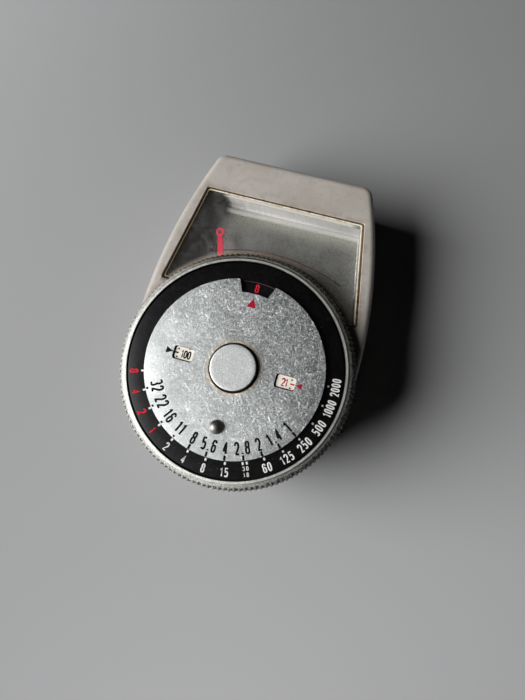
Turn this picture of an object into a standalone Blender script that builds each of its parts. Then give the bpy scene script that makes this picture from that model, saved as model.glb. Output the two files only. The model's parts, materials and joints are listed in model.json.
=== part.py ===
"""A hand-held light meter with a follow pointer, at real size in metres, +Z up.

The back lies on z = 0, +Y runs to the sensor end, and the dial turns about the Z axis.
A selenium cell behind a honeycomb lens drives a small moving-coil movement. Turning the
knurled time ring turns a pinion, which swings an internally toothed sector lever and with
it the red pointer, until the pointer's ring stands over the needle.
"""

from math import asin, atan2, cos, degrees, pi, radians, sin, sqrt, tan

import bmesh
import bpy
from mathutils import Matrix, Vector

# Clearances that several pieces share
SEAT_GAP = 0.0003
FIT_GAP = 0.00015
OVERRUN = 0.0010

# Points nearer to each other than this are welded into one
WELD_DISTANCE = 0.000001

# Case, seen from above: a round end under the dial, sides on a wide arc, a straight sensor end
CASE_HALF_WIDTH = 0.0222
CASE_END_Y = 0.0415
CASE_ROUND_Y = 0.0010
CASE_TAPER_Y = 0.0060
CASE_SIDE_RADIUS = 0.0980
CASE_CORNER_RADIUS = 0.0023
CASE_INNER_CORNER_RADIUS = 0.0005
CASE_HEIGHT = 0.0175
CASE_WALL = 0.0016
CASE_EDGE_RADIUS = 0.0012
ROUND_END_STEPS = 30
SIDE_STEPS = 5
CORNER_STEPS = 4
EDGE_STEPS = 3

# Back cover
COVER_HEIGHT = 0.0026
COVER_FLOOR = 0.0016
COVER_LIP_RISE = 0.0011
COVER_LIP_THICKNESS = 0.0009

# Case screws and their bosses
BOSS_RADIUS = 0.0016
BOSS_SINK = 0.0003
END_BOSS_INSET_Y = 0.0045
ROUND_BOSS_ANGLE = 37.0
CASE_SCREW_RADIUS = 0.0007
CASE_SCREW_LENGTH = 0.0060
CASE_SCREW_HEAD_RADIUS = 0.0014
CASE_SCREW_HEAD_HEIGHT = 0.0006
CASE_SCREW_SINK = 0.0002

# Window in the top face, and the metal pan under it
WINDOW_END_INSET = 0.0076
WINDOW_END_SIDE_INSET = 0.0062
WINDOW_FOOT_Y = 0.0138
WINDOW_FOOT_SIDE_INSET = 0.0024
WINDOW_CORNER_RADIUS = 0.0004
LEDGE_WIDTH = 0.0007
LEDGE_THICKNESS = 0.0005
PANE_SINK = 0.00015
PAN_THICKNESS = 0.0005
PAN_SPREAD = 0.0002
PAN_COVE_RADIUS = 0.0014
PAN_COVE_STEPS = 4
PAN_FOOT_REACH = 0.0008
PAN_POST_RADIUS = 0.0014
PAN_POST_NEAR_SIDE_INSET = 0.0068
PAN_POST_NEAR_RISE = 0.0032
PAN_POST_FAR_SIDE_INSET = 0.0065
PAN_POST_FAR_INSET = 0.0039

# Lens and cell pack in the sensor end
LENS_SIDE_MARGIN = 0.0035
LENS_BOTTOM_MARGIN = 0.0018
LENS_TOP_MARGIN = 0.0035
LENS_FLANGE_MARGIN = 0.0007
LENS_FLANGE_THICKNESS = 0.0010
LENS_SINK = 0.0001
LENSLET_PITCH = 0.0021
LENSLET_HEIGHT = 0.0005
LENSLET_TOP_SHARE = 0.45
LENSLET_FOOT_SHARE = 0.96
GASKET_THICKNESS = 0.0004
GASKET_RIM = 0.0010
CELL_THICKNESS = 0.0006
CELL_MARGIN = 0.0002
CONTACT_THICKNESS = 0.0003
CONTACT_BOW = 0.0010
CONTACT_LENGTH_SHARE = 0.75
CONTACT_HALF_HEIGHT = 0.0022
CELL_RIB_THICKNESS = 0.0009
CELL_RIB_INSET = 0.0012
WIRE_RADIUS = 0.0003

# Dial: the knurled time ring, its black scale, the film speed disc and the f-stop disc
DIAL_LIFT = 0.0004
DIAL_FACE_RISE = 0.0038
DIAL_OVERHANG = 0.0003
DIAL_STEPS = 70
KNURL_TEETH = 140
KNURL_DEPTH = 0.00028
RIM_FOOT_DRAFT = 0.0004
RIM_FOOT_RISE = 0.0003
RIM_STRAIGHT = 0.0009
RIM_WALL = 0.0015
LIP_WIDTH = 0.00065
LIP_RISE = 0.00015
RIM_REACH = 0.00223
SCALE_THICKNESS = 0.0006
SCALE_UNDERLAP = 0.0029
WEB_THICKNESS = 0.0010
TIME_BAND_WIDTH = 0.00357
DISC_THICKNESS = 0.0008
DISC_STEPS = 72
NOTCH_DEPTH = 0.0025
NOTCH_OUTER_HALF_ANGLE = 12.2
NOTCH_INNER_HALF_ANGLE = 10.0
SPEED_WINDOW_INSET = 0.00695
SPEED_WINDOW_HALF_WIDTH = 0.0019
SPEED_WINDOW_HALF_HEIGHT = 0.00125
SPEED_WINDOW_CORNER = 0.0004
STUD_INSET = 0.0056
STUD_RADIUS = 0.0013
STUD_RISE = 0.0010
STUD_STEM_RADIUS = 0.0006
CAP_RADIUS = 0.0043
CAP_RISE = 0.0010
CAP_EDGE_RADIUS = 0.0003
CAP_RECESS_MARGIN = 0.00055
CAP_RECESS_DEPTH = 0.0004
CAP_STEM_RADIUS = 0.0020
CAP_THREAD_RADIUS = 0.0006
CAP_THREAD_LENGTH = 0.0040

# Post, hub and spring washer that carry the dial
POST_SHARE = 0.35
POST_FLANGE_RADIUS = 0.0044
POST_FOOT_RADIUS = 0.0023
POST_FOOT_THICKNESS = 0.0004
HUB_WALL_SHARE = 0.175
HUB_FLANGE_REACH = 0.0036
HUB_FLANGE_THICKNESS = 0.0008
HUB_RIVET_COUNT = 3
HUB_RIVET_INSET = 0.0016
RIVET_RADIUS = 0.0005
RIVET_HEAD_RADIUS = 0.0009
RIVET_HEAD_HEIGHT = 0.0002
POINTER_RIVET_SHARE = 0.8
WASHER_WIDTH = 0.0018
WASHER_RIVET_MARGIN = 0.0005
WASHER_THICKNESS = 0.00015
WASHER_WAVE = 0.00012
WASHER_WAVES = 3
WASHER_STEPS = 24

# Gearing: an outside-toothed pinion inside an inside-toothed sector turn the same way
CASE_MODULES = 55.5
PRESSURE_ANGLE = 20.0
PINION_TEETH = 20
SECTOR_FULL_TEETH = 80
SECTOR_SPACES_BEFORE = 3
SECTOR_SPACES_AFTER = 9
ADDENDUM_SHARE = 0.90
DEDENDUM_SHARE = 1.25
FLANK_STEPS = 3
BACKLASH = 0.00008
PINION_THICKNESS = 0.0018

# Sector lever and red pointer, as they stand when the part is at rest
POINTER_REST_ANGLE = 17.0
LEVER_THICKNESS = 0.0006
LEVER_DROP = 0.0004
LEVER_HUB_SHARE = 0.75
LEVER_RIM_WIDTH = 0.0017
LEVER_SLOT_CLEARANCE = 0.00044
LEVER_SLOT_LEFT_ANGLE = 41.0
LEVER_SLOT_RIGHT_ANGLE = -48.0
LEVER_SPOKE_ANGLE = 6.0
LEVER_HUB_FREE_ANGLE = 75.0
LEVER_TONGUE_REACH = 0.0034
LEVER_TONGUE_HALF_WIDTH = 0.0015
LEVER_STUD_SHARE = 0.375
LEVER_STUD_FOOT_RADIUS = 0.0022
CLIP_GROOVE_DEPTH = 0.0006
CLIP_THICKNESS = 0.0002
CLIP_WIDTH_SHARE = 0.8
CLIP_OPENING_ANGLE = 60.0
TONGUE_RIVET_SHARE = 0.67
BLADE_THICKNESS = 0.0004
BLADE_ROOT_HALF_WIDTH = 0.0012
BLADE_NECK_HALF_WIDTH = 0.00047
BLADE_RING_RADIUS = 0.00090
BLADE_RING_HOLE_RADIUS = 0.00040
POINTER_END_INSET = 0.0058

# Chassis plate under the case top
CHASSIS_THICKNESS = 0.0010
CHASSIS_EAR_INSET = 0.0092
CHASSIS_EAR_Y = 0.0060
CHASSIS_REAR_INSET = 0.0023
CHASSIS_BOSS_SHARE = 0.45
CHASSIS_EDGE_MARGIN = 0.0024
CHASSIS_CORNER_RADIUS = 0.0018
CHASSIS_WAIST_HALF_WIDTH = 0.0050
CHASSIS_SCREW_RADIUS = 0.0006
CHASSIS_SCREW_HEAD_RADIUS = 0.0013
CHASSIS_SCREW_HEAD_HEIGHT = 0.0005

# Moving-coil movement, below the chassis plate
NEEDLE_PIVOT_Y = 0.0046
NEEDLE_SIDE_INSET = 0.00113
NEEDLE_DROP = 0.00115
NEEDLE_THICKNESS = 0.00015
NEEDLE_END_INSET = 0.0025
NEEDLE_HALF_WIDTH = 0.00028
NEEDLE_TIP_HALF_WIDTH = 0.00012
NEEDLE_HUB_RADIUS = 0.0009
NEEDLE_TAIL_LENGTH = 0.0036
NEEDLE_WEIGHT_RADIUS = 0.0009
PAN_DROP = 0.0005
YOKE_RADIUS = 0.0070
YOKE_WALL = 0.0018
AIR_GAP = 0.0019
COIL_CLEARANCE = 0.0006
COIL_HALF_DEPTH = 0.0012
WINDING_THICKNESS = 0.00045
COIL_FRAME_THICKNESS = 0.00025
COIL_FRAME_GAP = 0.0001
UPPER_SPRING_ROOM = 0.0011
LOWER_SPRING_ROOM = 0.0009
BRACKET_HALF_WIDTH = 0.0012
BRACKET_THICKNESS = 0.0005
BRIDGE_THICKNESS = 0.0006
STAFF_RADIUS = 0.00035
STAFF_FLANGE_RADIUS = 0.0009
STAFF_FLANGE_THICKNESS = 0.0001
JEWEL_SCREW_RADIUS = 0.0010
JEWEL_CUP_RADIUS = 0.0005
JEWEL_CUP_DEPTH = 0.0003
SLOT_WIDTH = 0.0003
SLOT_DEPTH = 0.0003
MOVEMENT_SCREW_RADIUS = 0.0005
MOVEMENT_SHOULDER_RADIUS = 0.0010
MOVEMENT_HEAD_RADIUS = 0.0010
MOVEMENT_HEAD_HEIGHT = 0.0004
HAIRSPRING_TURNS = 3
HAIRSPRING_WIRE_RADIUS = 0.00008
HAIRSPRING_INNER_RADIUS = 0.00075
HAIRSPRING_OUTER_RADIUS = 0.0025
HAIRSPRING_TURN_STEPS = 12
SPRING_PIN_X = 0.0030
SPRING_PIN_RADIUS = 0.00025

# Zero adjuster on the back
ZERO_LEVER_THICKNESS = 0.0005
ZERO_SCREW_X = -0.0066
ZERO_PIN_OFFSET = 0.0005
ZERO_PIN_RADIUS = 0.00035
ZERO_PIN_CLEARANCE = 0.00012
ZERO_SCREW_HEAD_RADIUS = 0.0019
ZERO_SCREW_SHANK_RADIUS = 0.0009
ZERO_HEAD_HEIGHT = 0.0006
ZERO_HEAD_SINK = 0.0002
ZERO_HUB_RADIUS = 0.0021
ZERO_FORK_HALF_WIDTH = 0.0012
ZERO_FORK_REACH = 0.0008

SMALL_STEPS = 12
SHARP_ANGLE = 35.0
FINE_STEPS = 18
ROUND_STEPS = 32

# Widths and lengths that follow from the case
CASE_END_HALF_WIDTH = CASE_HALF_WIDTH - CASE_SIDE_RADIUS
CASE_END_HALF_WIDTH += sqrt(CASE_SIDE_RADIUS**2 - (CASE_END_Y - CASE_TAPER_Y) ** 2)
WINDOW_END_Y = CASE_END_Y - WINDOW_END_INSET
WINDOW_END_HALF_WIDTH = CASE_HALF_WIDTH - WINDOW_END_SIDE_INSET
WINDOW_FOOT_HALF_WIDTH = CASE_HALF_WIDTH - WINDOW_FOOT_SIDE_INSET
PAN_POST_NEAR_X = WINDOW_FOOT_HALF_WIDTH - PAN_POST_NEAR_SIDE_INSET
PAN_POST_NEAR_Y = WINDOW_FOOT_Y + PAN_POST_NEAR_RISE
PAN_POST_FAR_X = WINDOW_END_HALF_WIDTH - PAN_POST_FAR_SIDE_INSET
PAN_POST_FAR_Y = WINDOW_END_Y - PAN_POST_FAR_INSET
LENS_OPENING_HALF_WIDTH = CASE_END_HALF_WIDTH - LENS_SIDE_MARGIN
CONTACT_HALF_LENGTH = LENS_OPENING_HALF_WIDTH * CONTACT_LENGTH_SHARE
CELL_RIB_HALF_WIDTH = LENS_OPENING_HALF_WIDTH - CELL_RIB_INSET
DIAL_RADIUS = CASE_HALF_WIDTH + DIAL_OVERHANG
SCALE_RADIUS = DIAL_RADIUS - RIM_REACH
DISC_RADIUS = SCALE_RADIUS - TIME_BAND_WIDTH
SCALE_INNER_RADIUS = DISC_RADIUS - SCALE_UNDERLAP
SPEED_WINDOW_X = DISC_RADIUS - SPEED_WINDOW_INSET
STUD_Y = STUD_INSET - DISC_RADIUS
CHASSIS_EAR_X = CASE_HALF_WIDTH - CHASSIS_EAR_INSET
CHASSIS_REAR_Y = CASE_ROUND_Y - CASE_HALF_WIDTH + CASE_WALL + CHASSIS_REAR_INSET

# Levels above the back, each worked out from its neighbour
CASE_FOOT = COVER_HEIGHT + SEAT_GAP
CASE_CEILING = CASE_HEIGHT - CASE_WALL
LENS_OPENING_BOTTOM = CASE_FOOT + LENS_BOTTOM_MARGIN
LENS_OPENING_TOP = CASE_HEIGHT - LENS_TOP_MARGIN
LEDGE_TOP = CASE_CEILING + LEDGE_THICKNESS
FACE_Z = CASE_HEIGHT + DIAL_FACE_RISE
SCALE_BOTTOM = FACE_Z - SCALE_THICKNESS
WEB_TOP = SCALE_BOTTOM - SEAT_GAP
WEB_BOTTOM = WEB_TOP - WEB_THICKNESS
HUB_TOP = WEB_BOTTOM - SEAT_GAP
HUB_FLANGE_BOTTOM = HUB_TOP - HUB_FLANGE_THICKNESS
DISC_BOTTOM = FACE_Z + SEAT_GAP
DISC_TOP = DISC_BOTTOM + DISC_THICKNESS
PINION_TOP = CASE_CEILING - SEAT_GAP
PINION_BOTTOM = PINION_TOP - PINION_THICKNESS
CHASSIS_TOP = PINION_BOTTOM - SEAT_GAP
CHASSIS_BOTTOM = CHASSIS_TOP - CHASSIS_THICKNESS
LEVER_TOP = PINION_TOP - LEVER_DROP
LEVER_BOTTOM = LEVER_TOP - LEVER_THICKNESS
BLADE_TOP = LEVER_BOTTOM - FIT_GAP
BLADE_BOTTOM = BLADE_TOP - BLADE_THICKNESS
NEEDLE_TOP = CHASSIS_BOTTOM - NEEDLE_DROP
NEEDLE_BOTTOM = NEEDLE_TOP - NEEDLE_THICKNESS
PAN_FLOOR_TOP = NEEDLE_BOTTOM - PAN_DROP
PAN_BOTTOM = PAN_FLOOR_TOP - PAN_THICKNESS
ZERO_LEVER_BOTTOM = COVER_FLOOR + SEAT_GAP
ZERO_LEVER_TOP = ZERO_LEVER_BOTTOM + ZERO_LEVER_THICKNESS
BRIDGE_BOTTOM = ZERO_LEVER_TOP + SEAT_GAP
BRIDGE_TOP = BRIDGE_BOTTOM + BRIDGE_THICKNESS
WINDING_BOTTOM = BRIDGE_TOP + LOWER_SPRING_ROOM
WINDING_TOP = NEEDLE_BOTTOM - UPPER_SPRING_ROOM
FRAME_BOTTOM = WINDING_BOTTOM + WINDING_THICKNESS + COIL_FRAME_GAP
FRAME_TOP = WINDING_TOP - WINDING_THICKNESS - COIL_FRAME_GAP
COIL_ROOM_BOTTOM = FRAME_BOTTOM + COIL_FRAME_THICKNESS
COIL_ROOM_TOP = FRAME_TOP - COIL_FRAME_THICKNESS
CORE_BOTTOM = COIL_ROOM_BOTTOM + SEAT_GAP
BRACKET_TOP = COIL_ROOM_TOP - SEAT_GAP
BRACKET_BOTTOM = BRACKET_TOP - BRACKET_THICKNESS
YOKE_TOP = BRACKET_BOTTOM - SEAT_GAP
YOKE_BOTTOM = CORE_BOTTOM
BRIDGE_PAD_TOP = YOKE_BOTTOM - SEAT_GAP

# Gear sizes and the lever's pivot follow from the teeth
GEAR_MODULE = CASE_HALF_WIDTH / CASE_MODULES
PINION_PITCH_RADIUS = GEAR_MODULE * PINION_TEETH / 2
SECTOR_PITCH_RADIUS = GEAR_MODULE * SECTOR_FULL_TEETH / 2
LEVER_PIVOT_Y = PINION_PITCH_RADIUS - SECTOR_PITCH_RADIUS
POST_RADIUS = PINION_PITCH_RADIUS * POST_SHARE
LEVER_STUD_RADIUS = PINION_PITCH_RADIUS * LEVER_STUD_SHARE
LEVER_HUB_RADIUS = PINION_PITCH_RADIUS * LEVER_HUB_SHARE
CLIP_WIDTH = LEVER_STUD_RADIUS * CLIP_WIDTH_SHARE
CHASSIS_BOSS_RADIUS = PINION_PITCH_RADIUS * CHASSIS_BOSS_SHARE
PINION_TIP_RADIUS = PINION_PITCH_RADIUS + GEAR_MODULE * ADDENDUM_SHARE
LEVER_SLOT_INNER_RADIUS = -LEVER_PIVOT_Y - PINION_TIP_RADIUS - LEVER_SLOT_CLEARANCE
POINTER_LENGTH = WINDOW_END_Y - LEVER_PIVOT_Y - POINTER_END_INSET
NEEDLE_LENGTH = WINDOW_END_Y - NEEDLE_PIVOT_Y - NEEDLE_END_INSET
NEEDLE_REST_ANGLE = degrees(asin((WINDOW_END_HALF_WIDTH - NEEDLE_SIDE_INSET) / NEEDLE_LENGTH))
SECTOR_ROOT_RADIUS = SECTOR_PITCH_RADIUS + GEAR_MODULE * DEDENDUM_SHARE
LEVER_RIM_RADIUS = SECTOR_ROOT_RADIUS + LEVER_RIM_WIDTH
BLADE_ROOT_RADIUS = SECTOR_ROOT_RADIUS + FIT_GAP
HUB_BORE_RADIUS = POST_RADIUS + SEAT_GAP
HUB_TUBE_RADIUS = HUB_BORE_RADIUS + PINION_PITCH_RADIUS * HUB_WALL_SHARE
HUB_FLANGE_RADIUS = POST_FLANGE_RADIUS + HUB_FLANGE_REACH
HUB_RIVET_CIRCLE = HUB_FLANGE_RADIUS - HUB_RIVET_INSET
WASHER_OUTER_RADIUS = HUB_RIVET_CIRCLE - RIVET_HEAD_RADIUS - WASHER_RIVET_MARGIN
WASHER_INNER_RADIUS = WASHER_OUTER_RADIUS - WASHER_WIDTH

# Movement, from the yoke inwards
YOKE_BORE = YOKE_RADIUS - YOKE_WALL
CORE_RADIUS = YOKE_BORE - AIR_GAP
COIL_HALF_WIDTH = YOKE_BORE - COIL_CLEARANCE
MOVEMENT_SCREW_CIRCLE = (YOKE_RADIUS + YOKE_BORE) / 2

# Sensor end, from the lens inwards
END_WALL_INNER_Y = CASE_END_Y - CASE_WALL
LENS_BACK_Y = END_WALL_INNER_Y - SEAT_GAP - LENS_FLANGE_THICKNESS
GASKET_FRONT_Y = LENS_BACK_Y - SEAT_GAP
CELL_FRONT_Y = GASKET_FRONT_Y - GASKET_THICKNESS - SEAT_GAP
CELL_BACK_Y = CELL_FRONT_Y - CELL_THICKNESS
CONTACT_FRONT_Y = CELL_BACK_Y - SEAT_GAP
CELL_RIB_FRONT_Y = CONTACT_FRONT_Y - CONTACT_BOW - CONTACT_THICKNESS - SEAT_GAP
LENS_BOTTOM = LENS_OPENING_BOTTOM - LENS_FLANGE_MARGIN
LENS_TOP = LENS_OPENING_TOP + LENS_FLANGE_MARGIN
LENS_MIDDLE_Z = (LENS_OPENING_BOTTOM + LENS_OPENING_TOP) / 2

# Colour, roughness and metallic value of each finish
FINISHES = {
    "case_plastic": ((0.58, 0.55, 0.51), 0.45, 0.0),
    "cover_plastic": ((0.55, 0.52, 0.48), 0.50, 0.0),
    "clear_glass": ((0.88, 0.88, 0.84), 0.08, 0.0),
    "lens_plastic": ((0.80, 0.78, 0.70), 0.15, 0.0),
    "scale_metal": ((0.50, 0.49, 0.46), 0.35, 1.0),
    "satin_aluminium": ((0.72, 0.72, 0.72), 0.35, 1.0),
    "black_lacquer": ((0.03, 0.03, 0.03), 0.45, 0.0),
    "cream_lacquer": ((0.76, 0.70, 0.60), 0.50, 0.0),
    "red_lacquer": ((0.75, 0.05, 0.10), 0.40, 0.0),
    "needle_lacquer": ((0.05, 0.05, 0.06), 0.40, 0.0),
    "steel": ((0.60, 0.60, 0.60), 0.25, 1.0),
    "brass": ((0.72, 0.56, 0.27), 0.30, 1.0),
    "spring_bronze": ((0.66, 0.42, 0.22), 0.35, 1.0),
    "copper": ((0.72, 0.35, 0.20), 0.40, 1.0),
    "iron": ((0.28, 0.28, 0.29), 0.50, 1.0),
    "magnet": ((0.20, 0.20, 0.21), 0.60, 1.0),
    "selenium": ((0.16, 0.15, 0.19), 0.30, 0.6),
    "gasket_rubber": ((0.05, 0.05, 0.05), 0.80, 0.0),
    "wire_cover": ((0.45, 0.05, 0.05), 0.60, 0.0),
}


def clear_scene():
    """Remove whatever the file held, so that the model stands alone."""
    for obj in list(bpy.data.objects):
        bpy.data.objects.remove(obj, do_unlink=True)


def collection(name):
    """A new collection in the scene."""
    made = bpy.data.collections.new(name)
    bpy.context.scene.collection.children.link(made)
    return made


def finish(name):
    """The material of that name, made once from FINISHES."""
    if name in bpy.data.materials:
        return bpy.data.materials[name]
    colour, roughness, metallic = FINISHES[name]
    made = bpy.data.materials.new(name)
    made.use_nodes = True
    shader = made.node_tree.nodes["Principled BSDF"]
    shader.inputs["Base Color"].default_value = (*colour, 1)
    shader.inputs["Roughness"].default_value = roughness
    shader.inputs["Metallic"].default_value = metallic
    made.diffuse_color = (*colour, 1)
    return made


def axis_empty(name, x, y, turn=0):
    """An empty on a joint's axis, turned to where its pieces stand at rest."""
    made = bpy.data.objects.new(name, None)
    made.location = (x, y, 0)
    made.rotation_euler = (0, 0, radians(turn))
    PART.objects.link(made)
    return made


def piece(name, mesh, finish_name, axis=None):
    """A node of the model, carried by an axis empty if it moves."""
    mesh.name = name
    mesh.materials.clear()
    mesh.materials.append(finish(finish_name))
    made = bpy.data.objects.new(name, mesh)
    made.parent = axis
    PART.objects.link(made)
    return made


def boolean(target, mesh, operation="DIFFERENCE"):
    """Cut a mesh from a piece, or join it on. The helper follows the piece."""
    helper = bpy.data.objects.new(target.name + "_helper", mesh)
    helper.parent = target
    helper.hide_render = True
    helper.display_type = "WIRE"
    CUTTERS.objects.link(helper)
    modifier = target.modifiers.new(operation.title(), "BOOLEAN")
    modifier.operation = operation
    modifier.solver = "EXACT"
    modifier.object = helper


def cut(target, mesh):
    boolean(target, mesh)


def join(target, mesh):
    boolean(target, mesh, "UNION")


def finished_mesh(shape, name):
    """A mesh from a bmesh, with its faces outwards."""
    bmesh.ops.recalc_face_normals(shape, faces=shape.faces)
    mesh = bpy.data.meshes.new(name)
    shape.to_mesh(mesh)
    shape.free()
    mesh.shade_smooth()
    mesh.set_sharp_from_angle(angle=radians(SHARP_ANGLE))
    return mesh


def box(low, high, name="box"):
    """A box between two corners."""
    shape = bmesh.new()
    size = [b - a for a, b in zip(low, high)]
    middle = [(a + b) / 2 for a, b in zip(low, high)]
    place = Matrix.Translation(middle) @ Matrix.Diagonal((*size, 1))
    bmesh.ops.create_cube(shape, size=1, matrix=place)
    return finished_mesh(shape, name)


def cylinder(radius, bottom, top, x=0, y=0, steps=SMALL_STEPS, name="cylinder"):
    """An upright cylinder."""
    shape = bmesh.new()
    place = Matrix.Translation((x, y, (bottom + top) / 2))
    bmesh.ops.create_cone(
        shape, cap_ends=True, segments=steps, radius1=radius, radius2=radius,
        depth=top - bottom, matrix=place,
    )
    return finished_mesh(shape, name)


def turned(name, profile, finish_name, axis=None, steps=FINE_STEPS, closed=False):
    """A turned piece. The profile runs down its outer side, and closed is for a ring or tube."""
    mesh = bpy.data.meshes.new(name)
    count = len(profile)
    edges = [(i, i + 1) for i in range(count - 1)]
    if closed:
        edges.append((count - 1, 0))
    mesh.from_pydata([(r, 0, z) for r, z in profile], edges, [])
    made = piece(name, mesh, finish_name, axis)
    screw = made.modifiers.new("Turn", "SCREW")
    screw.steps = steps
    screw.render_steps = steps
    screw.use_merge_vertices = True
    screw.merge_threshold = WELD_DISTANCE
    screw.use_smooth_shade = True
    return made


def ring_profile(inner, outer, bottom, top):
    """The closed profile of a plain ring or tube."""
    return [(outer, top), (outer, bottom), (inner, bottom), (inner, top)]


def loft(name, sections, hoop=False):
    """A closed mesh through loops of points, capped at both ends unless it is a hoop.

    A loop may have a whole number of times as many points as its neighbour.
    """
    shape = bmesh.new()
    rows = [[shape.verts.new(point) for point in section] for section in sections]
    pairs = list(zip(rows, rows[1:]))
    if hoop:
        pairs.append((rows[-1], rows[0]))
    for first, second in pairs:
        bridge(shape, first, second)
    if not hoop:
        shape.faces.new(rows[0])
        shape.faces.new(rows[-1])
    return finished_mesh(shape, name)


def bridge(shape, first, second):
    """Faces between two loops, where the longer has a whole multiple of the shorter's points."""
    fine, coarse = (first, second) if len(first) >= len(second) else (second, first)
    share = len(fine) // len(coarse)
    for i, corner in enumerate(coarse):
        following = coarse[(i + 1) % len(coarse)]
        steps = [fine[(i * share + k) % len(fine)] for k in range(share + 1)]
        shape.faces.new([corner, *steps, following])


def ring_of_points(radius, z, steps, depth=0.0):
    """A level loop about the Z axis. Every second point is drawn in by depth."""
    points = []
    for i in range(steps):
        angle = 2 * pi * i / steps
        reach = radius - depth * (i % 2)
        points.append((reach * cos(angle), reach * sin(angle), z))
    return points


def flat(name, loops, bottom, top):
    """A mesh plate from outlines: the first is its edge, and the others are holes."""
    curve = bpy.data.curves.new(name, "CURVE")
    curve.dimensions = "2D"
    curve.fill_mode = "BOTH"
    curve.extrude = (top - bottom) / 2
    for loop in loops:
        spline = curve.splines.new("POLY")
        spline.points.add(len(loop) - 1)
        for point, (x, y) in zip(spline.points, loop):
            point.co = (x, y, 0, 1)
        spline.use_cyclic_u = True
    mesh = mesh_from_curve(name, curve)
    mesh.transform(Matrix.Translation((0, 0, (top + bottom) / 2)))
    return mesh


def tube(name, points, radius, resolution=1):
    """A round wire along points, with closed ends."""
    curve = bpy.data.curves.new(name, "CURVE")
    curve.dimensions = "3D"
    curve.bevel_depth = radius
    curve.bevel_resolution = resolution
    curve.use_fill_caps = True
    spline = curve.splines.new("POLY")
    spline.points.add(len(points) - 1)
    for point, place in zip(spline.points, points):
        point.co = (*place, 1)
    return mesh_from_curve(name, curve)


def mesh_from_curve(name, curve):
    """The evaluated mesh of a curve, with its loose caps welded on."""
    guide = bpy.data.objects.new(name + "_guide", curve)
    PART.objects.link(guide)
    graph = bpy.context.evaluated_depsgraph_get()
    drawn = bpy.data.meshes.new_from_object(guide.evaluated_get(graph))
    bpy.data.objects.remove(guide, do_unlink=True)
    shape = bmesh.new()
    shape.from_mesh(drawn)
    bmesh.ops.remove_doubles(shape, verts=shape.verts, dist=WELD_DISTANCE)
    return finished_mesh(shape, name)


def arc(x, y, radius, start, end, steps):
    """Points on an arc, both ends included, with angles in degrees."""
    angles = [radians(start + (end - start) * i / steps) for i in range(steps + 1)]
    return [(x + radius * cos(a), y + radius * sin(a)) for a in angles]


def circle(radius, x=0, y=0, steps=SMALL_STEPS):
    return arc(x, y, radius, 0, 360, steps)[:-1]


def inset_loop(points, distances):
    """A convex outline with each edge moved inwards by its own distance."""
    count = len(points)
    lines = []
    for i in range(count):
        a, b = Vector(points[i]), Vector(points[(i + 1) % count])
        along = (b - a).normalized()
        inward = Vector((-along.y, along.x))
        lines.append((a + inward * distances[i], along))
    moved = []
    for i in range(count):
        (p, u), (q, v) = lines[i - 1], lines[i]
        t = (q - p).cross(v) / u.cross(v)
        moved.append(tuple(p + u * t))
    return moved


def rounded(points, radius, steps=CORNER_STEPS):
    """An outline with its corners rounded."""
    loop = []
    count = len(points)
    for i in range(count):
        corner = Vector(points[i])
        back = (Vector(points[i - 1]) - corner).normalized()
        ahead = (Vector(points[(i + 1) % count]) - corner).normalized()
        half = back.angle(ahead) / 2
        centre = corner + (back + ahead).normalized() * (radius / sin(half))
        first = corner + back * (radius / tan(half)) - centre
        last = corner + ahead * (radius / tan(half)) - centre
        start = atan2(first.y, first.x)
        sweep = (atan2(last.y, last.x) - start + pi) % (2 * pi) - pi
        loop += arc(centre.x, centre.y, radius, degrees(start), degrees(start + sweep), steps)
    return loop


def case_outline(inset):
    """The case's plan, moved inwards by inset, from the round end's left side on."""
    side_x = CASE_HALF_WIDTH - CASE_SIDE_RADIUS
    side = CASE_SIDE_RADIUS - inset
    corner = max(CASE_CORNER_RADIUS - inset, CASE_INNER_CORNER_RADIUS)
    corner_y = CASE_END_Y - inset - corner
    corner_x = side_x + sqrt((side - corner) ** 2 - (corner_y - CASE_TAPER_Y) ** 2)
    meet = degrees(atan2(corner_y - CASE_TAPER_Y, corner_x - side_x))
    right = arc(side_x, CASE_TAPER_Y, side, 0, meet, SIDE_STEPS)
    right += arc(corner_x, corner_y, corner, meet, 90, CORNER_STEPS)[1:]
    left = [(-x, y) for x, y in reversed(right)]
    return arc(0, CASE_ROUND_Y, CASE_HALF_WIDTH - inset, 180, 360, ROUND_END_STEPS) + right + left


def case_half_width(y):
    """Half the case's width at a place between the taper's start and the corners."""
    return CASE_HALF_WIDTH - CASE_SIDE_RADIUS + sqrt(CASE_SIDE_RADIUS**2 - (y - CASE_TAPER_Y) ** 2)


def case_section(inset, z):
    return [(x, y, z) for x, y in case_outline(inset)]


def edge_rounding(radius, steps=EDGE_STEPS):
    """Pairs of inset and height from the foot of a rounded edge to its top."""
    turns = [radians(90) * k / steps for k in range(steps + 1)]
    return [(radius * (1 - cos(a)), radius * sin(a)) for a in turns]


def case_screw_places():
    """Centres of the four case screws."""
    y = CASE_END_Y - END_BOSS_INSET_Y
    reach = CASE_WALL + BOSS_RADIUS - BOSS_SINK
    x = case_half_width(y) - reach
    circle_radius = CASE_HALF_WIDTH - reach
    angle = radians(ROUND_BOSS_ANGLE)
    round_x = circle_radius * cos(angle)
    round_y = CASE_ROUND_Y - circle_radius * sin(angle)
    return [(x, y), (-x, y), (-round_x, round_y), (round_x, round_y)]


def chassis_screw_places():
    """Centres of the three screws that hold the chassis plate."""
    return [(CHASSIS_EAR_X, CHASSIS_EAR_Y), (-CHASSIS_EAR_X, CHASSIS_EAR_Y), (0, CHASSIS_REAR_Y)]


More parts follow.
